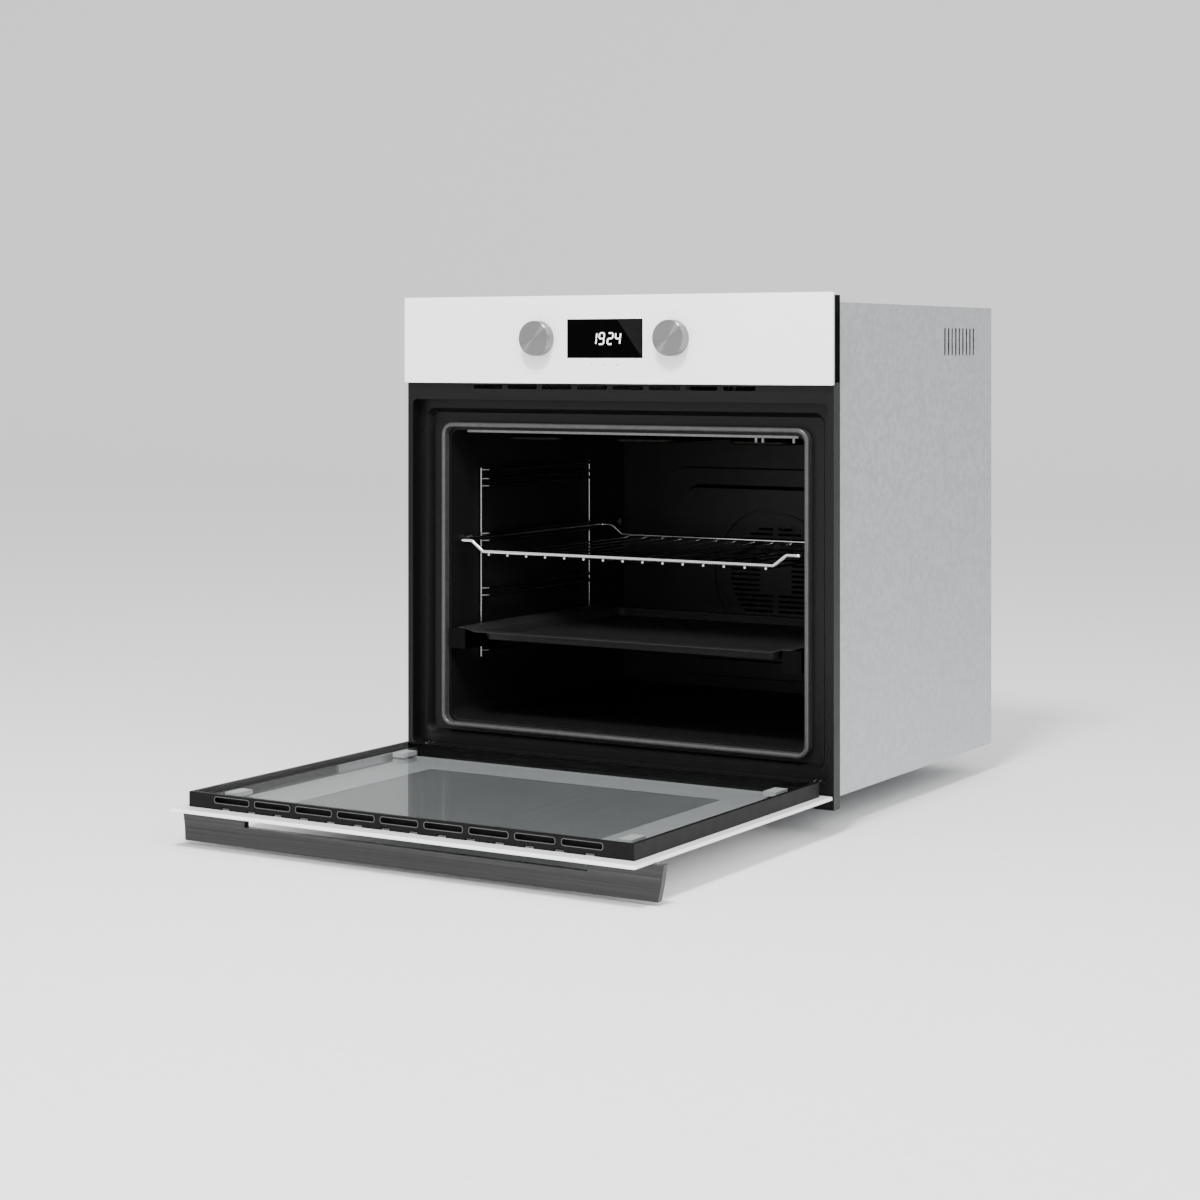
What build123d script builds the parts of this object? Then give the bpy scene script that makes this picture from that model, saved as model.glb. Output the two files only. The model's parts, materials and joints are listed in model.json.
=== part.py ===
"""Built-in wall oven, 60 cm, with its door open: an assembly of separate pieces.

Millimetres. X runs to the right as seen from the front, Y into the oven and Z up.
The origin is where the middle of the front meets the niche floor: Y = 0 is the
plane of the cabinet's front edge, behind the flange, and Z = 0 is the niche floor.
"""

import os

from build123d import *

# ---------------------------------------------------------------- driving sizes
# Front
FRONT_W = 595.0  # width of the glass front
FRONT_H = 595.0  # height of the whole front
FRONT_DEPTH = 22.0  # glass face to the face of the flange
FLANGE_T = 1.0  # sheet of the front frame
FLANGE_IN = 1.5  # flange behind each side of the glass
BASE_DROP = 7.5  # how far the front hangs below the niche floor
GLASS_T = 4.0  # tempered glass
PANEL_H = 107.3  # height of the control panel
PANEL_GAP = 4.0  # air gap between the panel and the closed door
DOOR_RISE = 22.5  # bottom of the closed door's glass above the bottom of the front
CORNER_R = 2.0  # corners of the glass sheets

# Housing
HOUSING_W = 558.0  # behind the flange
HOUSING_H = 577.0
HOUSING_DEPTH = 512.0  # cabinet plane to the rear panel
SHEET = 0.8  # galvanised sheet
MOTOR_COVER_DEPTH = 24.0
CLEAR = 0.3  # gap between pieces that must not touch

# Cavity
CAVITY_W = 494.0  # inside
CAVITY_H = 366.0
CAVITY_D = 443.0  # from the recess floor to the rear wall
CAVITY_FLOOR = 54.5  # above the niche floor
CAVITY_R = 12.0
MUFFLE_T = 1.2
FRAME_GAP = 2.0  # closed door's glass to the frame's front face
STEP_FIT = 3.0  # round the body of the closed door, in the frame's first step
STRIP_RISE = 3.0  # top of the frame's air strip above the panel's lower edge
RECESS_DEPTH = 10.0  # of the second step, round the mouth
RECESS_SLANT = 30.0
RECESS_MARGIN = 11.3  # second step below the top of the first, and above its bottom
RECESS_R = 12.0
STEP_R = 7.0
GASKET_W = 6.0
GASKET_D = 10.4
GASKET_R = 16.0
GASKET_GAP = 3.5  # cavity mouth to the inside of the gasket
FAN_Z = 214.5  # height of the convection fan's axis
DISH_R = 105.0  # dish in the rear wall behind the fan
DISH_DEPTH = 14.0
INSULATION_T = 20.0

# Hinge
HINGE_IN = 4.7  # axis behind the glass face, and below the glass's lower edge
HINGE_SIDE = 15.7  # middle of each hinge from the side of the door's frame
PIN_R = 2.5
PIN_FIT = 0.05  # radial clearance round the pin
EYE_R = 4.4
ARM_T = 2.5
LEAF_T = 3.2
LEAF_GAP = 0.4
LEAF_LENGTH = 170.0

# Door
DOOR_T = 21.0  # outer face to inner face
DOOR_SIDE = 11.8  # how far the outer glass stands past the door's frame
DOOR_FRONT = 19.8
DOOR_REAR = 11.0
DOOR_WALL = 1.4
DOOR_RIM = 5.0  # width of the frame's rim round the inner glass
STRIP_T = 12.0  # depth of the top vent strip
INNER_T = 4.0
MIDDLE_T = 3.0
DOOR_SLOTS = 9
DOOR_SLOT_L = 48.0
DOOR_SLOT_H = 6.4
DOOR_SLOT_PITCH = 56.3
NOTCHES = 14
NOTCH_PITCH = 36.0
NOTCH_W = 11.0
NOTCH_H = 3.2

# Handle
HANDLE_TOP = 620.0  # length where it meets the glass
HANDLE_TIP = 608.0
HANDLE_OUT = 38.0  # how far it stands off the glass
HANDLE_T = 8.0
HANDLE_BACK = 37.2  # from the glass's free edge to the blade
HANDLE_BEND = 22.0  # from the glass to the fold line
HANDLE_LEAN = 2.0  # how far the lip leans out past the fold
HANDLE_SLOT_L = 442.0
HANDLE_SLOT_H = 16.2
HANDLE_SCREW_X = 262.0
HANDLE_SCREW_R = 2.5

# Controls
KNOB_X = 93.5  # each knob's axis from the middle of the pair
KNOB_SHIFT = -3.0  # middle of the pair from the middle of the front
KNOB_Z = 55.3  # knob axes above the lower edge of the panel
KNOB_R = 21.5
KNOB_H = 14.5
KNOB_GAP = 0.6  # under the knob
SHAFT_R = 3.0
SHAFT_FIT = 0.05
SWITCH_D = 24.0
SWITCH_SIZE = 36.0
WINDOW_W = 105.5
WINDOW_H = 47.5
WINDOW_X = -4.0
WINDOW_DROP = 52.5  # centre of the display below the top of the front
AIR_SLOTS = 8
AIR_SLOT_L = 42.0
AIR_SLOT_H = 5.0
AIR_SLOT_PITCH = 50.0
AIR_SLOT_DROP = 112.0  # centre of the air slots below the top of the front

# Racks, rails, shelf and tray
RACK_SIDE = 3.0  # upright wires from the side of the cavity
LEDGE_SIDE = 10.0
RACK_R = 1.9
LEDGE_R = 1.8
RACK_FRONT = 74.0
RACK_REAR = 350.0
RACK_LOW = 126.0
RACK_HIGH = 369.5
LEDGE_PITCH = 70.8
LEDGE_GAP = 9.3  # between the two wires of a ledge
LEDGE_FIRST = 133.7  # lower wire of the lowest ledge
LEDGES = 4
STUD_FRONT = 46.0
STUD_REAR = 431.0
SHELF_SIDE = 8.6  # side bars from the side of the cavity
SHELF_R = 2.5
SHELF_FRONT = 16.0
SHELF_DEPTH = 356.0
SHELF_DROP = 13.0  # the bars dip this far between the sides
SHELF_RODS = 15
SHELF_ROD_R = 1.5
SHELF_ROD_SIDE = 44.5  # outermost rods from the side bars
TRAY_SIDE = 12.0  # rims from the side of the cavity
TRAY_FRONT = 0.6
TRAY_DEPTH = 377.0
TRAY_Z = 170.0  # underside of the side rims
TRAY_T = 1.0
TRAY_DIP = 4.0
TRAY_DEEP = 10.0
TRAY_RIM = 14.0
RAIL_SIDE = 12.1  # outer face of the fixed rail from the side of the cavity
RAIL_W = 11.5
RAIL_H = 16.0
RAIL_Z = 143.0
RAIL_T = 1.2
RAIL_FRONT = 8.0
RAIL_LENGTH = 350.0
RAIL_FIT = 0.3

# Heating, lamp, cooling
ELEMENT_R = 3.2
GRILL_Z = 410.0
GRILL_SIDE = 47.0  # outer legs from the side of the cavity
TRIM_SIDE = 15.0
FAN_R = 74.0
FAN_T = 20.0
FAN_BLADES = 18
MOTOR_R = 36.0
COVER_W = 354.0  # cover in front of the fan
COVER_TOP = 359.5
COVER_BOTTOM = 69.5
COVER_PROUD = 17.0
COVER_STEP = 5.0  # first press step, all round
COVER_MARGIN = 24.0  # first step's edge to the second's
COVER_SHEET = 1.0
LAMP_BETWEEN = 0.8  # the lamp stands between two legs of the grill element
LAMP_Z = 388.0
LAMP_R = 22.0
DUCT_W = 430.0
DUCT_H = 34.0
DUCT_Z = 450.0
COOLER_R = 62.0
COOLER_H = 30.0
COOLER_Y = 405.0
GLAND_R = 5.5
GLAND_X = 215.0
GLAND_Z = 545.0
SCREW_R = 2.1
SCREW_TOP = 420.0
SCREW_LOW = 60.0

# ---------------------------------------------------------------- worked-out places
FLANGE_Y = -FLANGE_T
FACE_Y = FLANGE_Y - FRONT_DEPTH
FRONT_BOTTOM = -BASE_DROP
FRONT_TOP = FRONT_BOTTOM + FRONT_H
PANEL_BOTTOM = FRONT_TOP - PANEL_H
FRAME_Y = FACE_Y + GLASS_T + FRAME_GAP
FRAME_PROUD = -FRAME_Y
STRIP_TOP = PANEL_BOTTOM + STRIP_RISE
FLANGE_W = FRONT_W - 2 * FLANGE_IN
RECESS_W = HOUSING_W - 2 * SHEET - 2 * FLANGE_T
RACK_X = CAVITY_W / 2 - RACK_SIDE
LEDGE_X = CAVITY_W / 2 - LEDGE_SIDE
SHELF_X = CAVITY_W / 2 - SHELF_SIDE
RAIL_X = CAVITY_W / 2 - RAIL_SIDE
TRAY_W = CAVITY_W - 2 * TRAY_SIDE
SHELF_ROD_PITCH = 2 * (SHELF_X - SHELF_ROD_SIDE) / (SHELF_RODS - 1)
GRILL_X = CAVITY_W / 2 - GRILL_SIDE
LAMP_X = LAMP_BETWEEN * GRILL_X
TRIM_X = CAVITY_W / 2 - TRIM_SIDE
RECESS_Y = FLANGE_Y + RECESS_DEPTH
MOUTH_Y = RECESS_Y + FLANGE_T
REAR_Y = RECESS_Y + CAVITY_D
CAVITY_TOP = CAVITY_FLOOR + CAVITY_H
CAVITY_MID = (CAVITY_FLOOR + CAVITY_TOP) / 2
HINGE_Y = FACE_Y + HINGE_IN
HINGE_Z = FRONT_BOTTOM + DOOR_RISE - HINGE_IN
DOOR_H = FRONT_H - PANEL_H - PANEL_GAP - DOOR_RISE
DOOR_Z = HINGE_Z - HINGE_IN
DOOR_Y = HINGE_Y - HINGE_IN
DOOR_TIP = DOOR_Y - DOOR_H
BODY_X = FRONT_W / 2 - DOOR_SIDE
BODY_Y0 = DOOR_TIP + DOOR_FRONT
BODY_Y1 = DOOR_Y - DOOR_REAR
BODY_Z0 = DOOR_Z + GLASS_T
BODY_Z1 = DOOR_Z + DOOR_T
STEP_W = 2 * (BODY_X + STEP_FIT)
STEP_BOTTOM = HINGE_Z + HINGE_Y - BODY_Y1 - STEP_FIT
STEP_TOP = HINGE_Z + HINGE_Y - BODY_Y0 + STEP_FIT
HINGE_X = BODY_X - HINGE_SIDE
SCREW_X = (STEP_W + RECESS_W) / 4
INNER_X = BODY_X - DOOR_RIM
INNER_Y0 = BODY_Y0 + DOOR_RIM
INNER_Y1 = BODY_Y1 - DOOR_RIM
INNER_Z = BODY_Z1 - INNER_T
KNOB_HEIGHT = PANEL_BOTTOM + KNOB_Z
WINDOW_Z = FRONT_TOP - WINDOW_DROP
CARRIER_Y = FACE_Y + GLASS_T
FAN_Y = REAR_Y - 10.0
COVER_Y = REAR_Y - COVER_PROUD
DISH_Y = REAR_Y + DISH_DEPTH
SHELF_Z = LEDGE_FIRST + 2 * LEDGE_PITCH + LEDGE_GAP / 2
COOLER_Z = DUCT_Z + 2.0


def at_depth(y):
    """A drawing plane facing the front, at depth y, with X and Z as its two axes."""
    return Plane.XZ.offset(-y)


def side_view(x):
    """A drawing plane seen from the right, at x, with Y and Z as its two axes."""
    return Plane.YZ.offset(x)


def block(x, y, z, mode=Mode.ADD):
    """A box between the low and high values given for each axis."""
    centre = ((x[0] + x[1]) / 2, (y[0] + y[1]) / 2, (z[0] + z[1]) / 2)
    with Locations(centre):
        Box(abs(x[1] - x[0]), abs(y[1] - y[0]), abs(z[1] - z[0]), mode=mode)


def rod(plane, centre, radius, length, mode=Mode.ADD):
    """A round bar that starts on a plane and follows its normal."""
    with BuildSketch(plane) as disc:
        with Locations(centre):
            Circle(radius)
    extrude(disc.sketch, amount=length, mode=mode)


def wire(points, radius, bend):
    """A round wire bent along points, with the same inside radius at every bend."""
    with BuildLine() as route:
        if len(points) == 2:
            Line(*points)
        else:
            FilletPolyline(*points, radius=bend)
    with BuildSketch(Plane(origin=route.line @ 0, z_dir=route.line % 0)) as section:
        Circle(radius)
    sweep(section.sketch, path=route.line)


def save(piece, label):
    """Name a finished piece and write it."""
    piece.part.label = label
    export_step(piece.part, f"parts/{label}.step")


def mirrored(side, low, high):
    """An X range on the left (side -1) or right (side 1), given as distances out."""
    return (side * low, side * high) if side > 0 else (side * high, side * low)


# ---------------------------------------------------------------- front and housing
def front_frame():
    """The enamelled frame: it stands ahead of the cabinet and steps back twice to the mouth."""
    half = FLANGE_W / 2
    middle = (STEP_BOTTOM + STEP_TOP) / 2
    height = STEP_TOP - STEP_BOTTOM
    recess_h = height - 2 * RECESS_MARGIN
    top = FRONT_TOP - 3.0
    with BuildPart() as frame:
        block((-half, half), (FRAME_Y, 0), (FRONT_BOTTOM, STRIP_TOP))
        block(
            (-half + FLANGE_T, half - FLANGE_T),
            (FRAME_Y + FLANGE_T, 0),
            (FRONT_BOTTOM + FLANGE_T, STRIP_TOP - FLANGE_T),
            Mode.SUBTRACT,
        )
        block((-FLANGE_W / 2, FLANGE_W / 2), (FLANGE_Y, 0), (STRIP_TOP - FLANGE_T, top))
        # First step, for the body of the closed door
        with BuildSketch(at_depth(0)):
            with Locations((0, middle)):
                RectangleRounded(STEP_W + 2 * FLANGE_T, height + 2 * FLANGE_T, STEP_R + FLANGE_T)
        extrude(amount=FRAME_PROUD)
        # Second step, with slanting walls, round the mouth
        with BuildSketch(at_depth(0)):
            with Locations((0, middle)):
                RectangleRounded(RECESS_W + 2 * FLANGE_T, recess_h + 2 * FLANGE_T, RECESS_R + FLANGE_T)
        extrude(amount=-MOUTH_Y, taper=RECESS_SLANT)
        with BuildSketch(at_depth(FRAME_Y)):
            with Locations((0, middle)):
                RectangleRounded(STEP_W, height, STEP_R)
        extrude(amount=-(FRAME_PROUD - FLANGE_T), mode=Mode.SUBTRACT)
        with BuildSketch(at_depth(FLANGE_Y)):
            with Locations((0, middle)):
                RectangleRounded(RECESS_W, recess_h, RECESS_R)
        extrude(amount=-RECESS_DEPTH, taper=RECESS_SLANT, mode=Mode.SUBTRACT)
        with BuildSketch(at_depth(RECESS_Y)):
            with Locations((0, CAVITY_MID)):
                RectangleRounded(CAVITY_W, CAVITY_H, CAVITY_R)
        extrude(amount=-2 * FLANGE_T, mode=Mode.SUBTRACT)
        # The opening for the controls, behind the panel
        block((-230, 230), (FLANGE_Y, 0), (PANEL_BOTTOM + 14, top - 12), Mode.SUBTRACT)
        # Air slots between the panel and the door
        with BuildSketch(at_depth(FRAME_Y)):
            with Locations((0, FRONT_TOP - AIR_SLOT_DROP)):
                with GridLocations(AIR_SLOT_PITCH, 1, AIR_SLOTS, 1):
                    RectangleRounded(AIR_SLOT_L, AIR_SLOT_H, 1.5)
        extrude(amount=-FLANGE_T, mode=Mode.SUBTRACT)
        # Openings for the hinge arms
        for side in (-1, 1):
            reach = LEAF_T / 2 + LEAF_GAP + ARM_T + CLEAR
            block(
                (side * HINGE_X - reach, side * HINGE_X + reach),
                (FRAME_Y, 0),
                (HINGE_Z - EYE_R - CLEAR, HINGE_Z + 13 + CLEAR),
                Mode.SUBTRACT,
            )
        # Fixing holes to the niche
        with BuildSketch(at_depth(FLANGE_Y)):
            for x in (-SCREW_X, SCREW_X):
                for z in (SCREW_LOW, SCREW_TOP):
                    with Locations((x, z)):
                        Circle(SCREW_R)
        extrude(amount=-FLANGE_T, mode=Mode.SUBTRACT)
    save(frame, "front_frame")


def cavity_muffle():
    """The enamelled cavity, closed at the rear, with a dish behind the fan."""
    with BuildPart() as muffle:
        with BuildSketch(at_depth(MOUTH_Y)):
            with Locations((0, CAVITY_MID)):
                RectangleRounded(CAVITY_W + 2 * MUFFLE_T, CAVITY_H + 2 * MUFFLE_T, CAVITY_R + MUFFLE_T)
        extrude(amount=-(REAR_Y + MUFFLE_T - MOUTH_Y))
        rod(at_depth(DISH_Y + MUFFLE_T), (0, FAN_Z), DISH_R + MUFFLE_T, DISH_DEPTH)
        with BuildSketch(at_depth(MOUTH_Y)):
            with Locations((0, CAVITY_MID)):
                RectangleRounded(CAVITY_W, CAVITY_H, CAVITY_R)
        extrude(amount=-(REAR_Y - MOUTH_Y), mode=Mode.SUBTRACT)
        rod(at_depth(DISH_Y), (0, FAN_Z), DISH_R, DISH_DEPTH, Mode.SUBTRACT)
        # Shaft, lamp, probe and element holes in the rear wall
        rear = at_depth(DISH_Y + 2 * MUFFLE_T)
        through = DISH_DEPTH + 4 * MUFFLE_T
        rod(rear, (0, FAN_Z), 8.0, through, Mode.SUBTRACT)
        rod(rear, (LAMP_X, LAMP_Z), LAMP_R + CLEAR, through, Mode.SUBTRACT)
        rod(rear, (LAMP_X - 60, LAMP_Z), 2.0 + CLEAR, through, Mode.SUBTRACT)
        for x in (-12, 12):
            rod(rear, (x, FAN_Z + DISH_R - 14), ELEMENT_R + CLEAR, through, Mode.SUBTRACT)
        for x in (-GRILL_X, GRILL_X):
            rod(rear, (x, GRILL_Z), ELEMENT_R + CLEAR, through, Mode.SUBTRACT)
    save(muffle, "cavity_muffle")


def door_gasket():
    """The heat-proof tube that the closed door presses on."""
    width = CAVITY_W + 2 * GASKET_GAP + 2 * GASKET_W
    height = CAVITY_H + 2 * GASKET_GAP + 2 * GASKET_W
    with BuildPart() as gasket:
        with BuildSketch(at_depth(RECESS_Y)):
            with Locations((0, CAVITY_MID)):
                RectangleRounded(width, height, GASKET_R)
                RectangleRounded(
                    width - 2 * GASKET_W, height - 2 * GASKET_W, GASKET_R - GASKET_W, mode=Mode.SUBTRACT
                )
        extrude(amount=GASKET_D)
        front = gasket.faces().sort_by(Axis.Y)[0]
        fillet(front.edges(), 0.45 * GASKET_W)
    save(gasket, "door_gasket")


def housing():
    """The galvanised base, sides, top and rear round the cavity."""
    half = HOUSING_W / 2
    with BuildPart() as base:
        block((-half, half), (0, HOUSING_DEPTH), (0, SHEET))
        with BuildSketch(Plane.XY):
            with Locations((0, HOUSING_DEPTH - 70)):
                with GridLocations(16, 1, 21, 1):
                    SlotOverall(50, 6, rotation=90)
        extrude(amount=SHEET, mode=Mode.SUBTRACT)
    save(base, "base_panel")
    for side, label in ((-1, "side_panel_left"), (1, "side_panel_right")):
        with BuildPart() as panel:
            block(mirrored(side, half - SHEET, half), (0, HOUSING_DEPTH), (SHEET, HOUSING_H - SHEET))
            with BuildSketch(side_view(side * half)):
                with Locations((HOUSING_DEPTH - 110, HOUSING_H - 45)):
                    with GridLocations(12, 1, 9, 1):
                        SlotOverall(36, 5, rotation=90)
            extrude(amount=-side * SHEET, mode=Mode.SUBTRACT)
        save(panel, label)
    with BuildPart() as top:
        block((-half, half), (0, HOUSING_DEPTH), (HOUSING_H - SHEET, HOUSING_H))
        with BuildSketch(Plane.XY.offset(HOUSING_H)):
            with Locations((0, COOLER_Y)):
                with PolarLocations(34, 12):
                    SlotOverall(40, 6)
        extrude(amount=-SHEET, mode=Mode.SUBTRACT)
    save(top, "top_cover")
    with BuildPart() as rear:
        block((-half, half), (HOUSING_DEPTH, HOUSING_DEPTH + SHEET), (0, HOUSING_H))
        rod(at_depth(HOUSING_DEPTH + 2 * SHEET), (0, FAN_Z), MOTOR_R + 8, 3 * SHEET, Mode.SUBTRACT)
        rod(at_depth(HOUSING_DEPTH + 2 * SHEET), (GLAND_X, GLAND_Z), GLAND_R + 4, 3 * SHEET, Mode.SUBTRACT)
    save(rear, "rear_panel")
    with BuildPart() as cover:
        y0 = HOUSING_DEPTH + SHEET
        y1 = y0 + MOTOR_COVER_DEPTH - SHEET
        with BuildSketch(at_depth(y0)):
            with Locations((0, FAN_Z)):
                RectangleRounded(190, 190, 14)
        extrude(amount=-(y1 - y0))
        with BuildSketch(at_depth(y0)):
            with Locations((0, FAN_Z)):
                RectangleRounded(190 - 2 * SHEET, 190 - 2 * SHEET, 14 - SHEET)
        extrude(amount=-(y1 - y0 - SHEET), mode=Mode.SUBTRACT)
        with BuildSketch(at_depth(y1)):
            with Locations((0, FAN_Z)):
                with GridLocations(1, 12, 1, 11):
                    SlotOverall(130, 5)
        extrude(amount=SHEET, mode=Mode.SUBTRACT)
    save(cover, "motor_cover")


def insulation():
    """A stone-wool blanket round the cavity, open at the front."""
    gap = 1.0
    x = CAVITY_W / 2 + MUFFLE_T + gap
    low = CAVITY_FLOOR - MUFFLE_T - 2 * ELEMENT_R - 4.0
    high = CAVITY_TOP + MUFFLE_T + gap
    back = DISH_Y + MUFFLE_T + gap
    with BuildPart() as blanket:
        block(
            (-x - INSULATION_T, x + INSULATION_T),
            (MOUTH_Y + 1, back + 14),
            (low - 14, high + INSULATION_T),
        )
        block((-x, x), (MOUTH_Y, back), (low, high), Mode.SUBTRACT)
        rear = at_depth(back + 20)
        rod(rear, (0, FAN_Z), MOTOR_R + 3, 40, Mode.SUBTRACT)
        rod(rear, (LAMP_X, LAMP_Z), LAMP_R + 3, 40, Mode.SUBTRACT)
        rod(rear, (LAMP_X - 60, LAMP_Z), 5, 40, Mode.SUBTRACT)
        for x_end in (-GRILL_X, GRILL_X):
            rod(rear, (x_end, GRILL_Z), ELEMENT_R + 3, 40, Mode.SUBTRACT)
        for x_end in (-12, 12):
            rod(rear, (x_end, FAN_Z + DISH_R - 14), ELEMENT_R + 3, 40, Mode.SUBTRACT)
        for x_end in (-30, 30):
            rod(rear, (x_end, CAVITY_FLOOR - MUFFLE_T - ELEMENT_R - CLEAR), ELEMENT_R + 3, 40, Mode.SUBTRACT)
    save(blanket, "insulation")


# ---------------------------------------------------------------- controls
def control_panel():
    """The white glass, its carrier, the display and the two switches behind the knobs."""
    half = FRONT_W / 2
    with BuildPart() as glass:
        with BuildSketch(at_depth(FACE_Y)):
            with Locations((0, FRONT_TOP - PANEL_H / 2)):
                RectangleRounded(FRONT_W, PANEL_H, CORNER_R)
            with Locations((WINDOW_X, WINDOW_Z)):
                Rectangle(WINDOW_W, WINDOW_H, mode=Mode.SUBTRACT)
            for x in (KNOB_SHIFT - KNOB_X, KNOB_SHIFT + KNOB_X):
                with Locations((x, KNOB_HEIGHT)):
                    Circle(SHAFT_R + 1.0, mode=Mode.SUBTRACT)
        extrude(amount=-GLASS_T)
        chamfer(glass.faces().sort_by(Axis.Y)[0].outer_wire().edges(), 0.5)
    save(glass, "control_panel_glass")

    with BuildPart() as lens:
        block(
            (WINDOW_X - WINDOW_W / 2 + 0.15, WINDOW_X + WINDOW_W / 2 - 0.15),
            (FACE_Y, FACE_Y + GLASS_T),
            (WINDOW_Z - WINDOW_H / 2 + 0.15, WINDOW_Z + WINDOW_H / 2 - 0.15),
        )
    save(lens, "display_lens")

    low, high = PANEL_BOTTOM + 4, FRONT_TOP - 4
    wall = 1.5
    with BuildPart() as carrier:
        block((-half + 6, half - 6), (CARRIER_Y, FLANGE_Y), (low, high))
        block(
            (-half + 6 + wall, half - 6 - wall),
            (CARRIER_Y + wall, FLANGE_Y),
            (low + wall, high - wall),
            Mode.SUBTRACT,
        )
        block(
            (WINDOW_X - WINDOW_W / 2 + 3, WINDOW_X + WINDOW_W / 2 - 3),
            (CARRIER_Y, CARRIER_Y + wall),
            (WINDOW_Z - WINDOW_H / 2 + 3, WINDOW_Z + WINDOW_H / 2 - 3),
            Mode.SUBTRACT,
        )
        for x in (KNOB_SHIFT - KNOB_X, KNOB_SHIFT + KNOB_X):
            rod(at_depth(CARRIER_Y + wall), (x, KNOB_HEIGHT), SHAFT_R + 1, wall, Mode.SUBTRACT)
    save(carrier, "panel_carrier")

    board_y = CARRIER_Y + wall
    with BuildPart() as board:
        block(
            (WINDOW_X - WINDOW_W / 2 + 5, WINDOW_X + WINDOW_W / 2 - 5),
            (board_y + 8, board_y + 9.6),
            (WINDOW_Z - 30, WINDOW_Z + 30),
        )
        block(
            (WINDOW_X - 40, WINDOW_X + 40),
            (CARRIER_Y + CLEAR, board_y + 8),
            (WINDOW_Z - 14, WINDOW_Z + 14),
        )
        for x in (-1, 1):
            for z in (-1, 1):
                block(
                    (WINDOW_X + x * 45 - 2, WINDOW_X + x * 45 + 2),
                    (board_y, board_y + 8),
                    (WINDOW_Z + z * 27 - 2, WINDOW_Z + z * 27 + 2),
                )
    save(board, "display_board")

    for x, knob_name, switch_name in (
        (KNOB_SHIFT - KNOB_X, "function_knob", "function_switch"),
        (KNOB_SHIFT + KNOB_X, "temperature_knob", "temperature_switch"),
    ):
        with BuildPart() as knob:
            base = FACE_Y - KNOB_GAP
            rod(at_depth(base), (x, KNOB_HEIGHT), KNOB_R, KNOB_H - KNOB_GAP)
            rim = knob.edges().filter_by(GeomType.CIRCLE).sort_by(Axis.Y)[0]
            chamfer(rim, 1.6)
            rod(at_depth(base + 12 + GLASS_T + wall), (x, KNOB_HEIGHT), SHAFT_R, 12 + GLASS_T + wall)
        save(knob, knob_name)
        with BuildPart() as switch:
            y0 = board_y
            block(
                (x - SWITCH_SIZE / 2, x + SWITCH_SIZE / 2),
                (y0, y0 + SWITCH_D),
                (KNOB_HEIGHT - SWITCH_SIZE / 2, KNOB_HEIGHT + SWITCH_SIZE / 2),
            )
            fillet(switch.edges().filter_by(Axis.Y), 4)
            rod(at_depth(y0 + 14), (x, KNOB_HEIGHT), SHAFT_R + SHAFT_FIT, 14, Mode.SUBTRACT)
        save(switch, switch_name)


# ---------------------------------------------------------------- door
def door_glass():
    """Outer, middle and inner panes of the open door."""
    with BuildPart() as outer:
        with BuildSketch(Plane.XY.offset(DOOR_Z)):
            with Locations((0, (DOOR_Y + DOOR_TIP) / 2)):
                RectangleRounded(FRONT_W, DOOR_H, CORNER_R)
            for x in (-HANDLE_SCREW_X, HANDLE_SCREW_X):
                with Locations((x, DOOR_TIP + HANDLE_BACK + HANDLE_T / 2)):
                    Circle(HANDLE_SCREW_R + 0.5, mode=Mode.SUBTRACT)
        extrude(amount=GLASS_T)
        chamfer(outer.faces().sort_by(Axis.Z)[0].outer_wire().edges(), 0.5)
    save(outer, "door_outer_glass")

    with BuildPart() as inner:
        with BuildSketch(Plane.XY.offset(INNER_Z)):
            with Locations((0, (INNER_Y0 + INNER_Y1) / 2)):
                RectangleRounded(2 * (INNER_X - CLEAR), INNER_Y1 - INNER_Y0 - 2 * CLEAR, 4)
        extrude(amount=INNER_T)
    save(inner, "door_inner_glass")

    middle_z = (BODY_Z0 + INNER_Z) / 2 - MIDDLE_T / 2
    with BuildPart() as middle:
        block(
            (-INNER_X + 26, INNER_X - 26),
            (INNER_Y0 + 14, INNER_Y1 - 14),
            (middle_z, middle_z + MIDDLE_T),
        )
    save(middle, "door_middle_glass")

    with BuildPart() as spacers:
        for x in (-1, 1):
            for y in (INNER_Y0 + 30, INNER_Y1 - 60):
                edge = x * (INNER_X - 26)
                block((edge - 8, edge + 8), (y, y + 30), (BODY_Z0, middle_z))
                block((edge - 8, edge + 8), (y, y + 30), (middle_z + MIDDLE_T, INNER_Z))
    save(spacers, "glass_spacers")


def door_sides():
    """The two side channels, each with a rebate for the inner glass."""
    inner = INNER_X
    deep = 15.0
    for side, label in ((-1, "door_side_left"), (1, "door_side_right")):
        with BuildPart() as channel:
            y = (BODY_Y0 + STRIP_T, BODY_Y1 - STRIP_T)
            block(mirrored(side, BODY_X - DOOR_WALL, BODY_X), y, (BODY_Z0, BODY_Z1))
            block(mirrored(side, inner, BODY_X), y, (BODY_Z1 - DOOR_WALL, BODY_Z1))
            block(mirrored(side, inner - 4, BODY_X), y, (INNER_Z - DOOR_WALL, INNER_Z))
            block(mirrored(side, inner, inner + DOOR_WALL), y, (INNER_Z, BODY_Z1))
            block(mirrored(side, BODY_X - deep, BODY_X), y, (BODY_Z0, BODY_Z0 + DOOR_WALL))
        save(channel, label)


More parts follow.
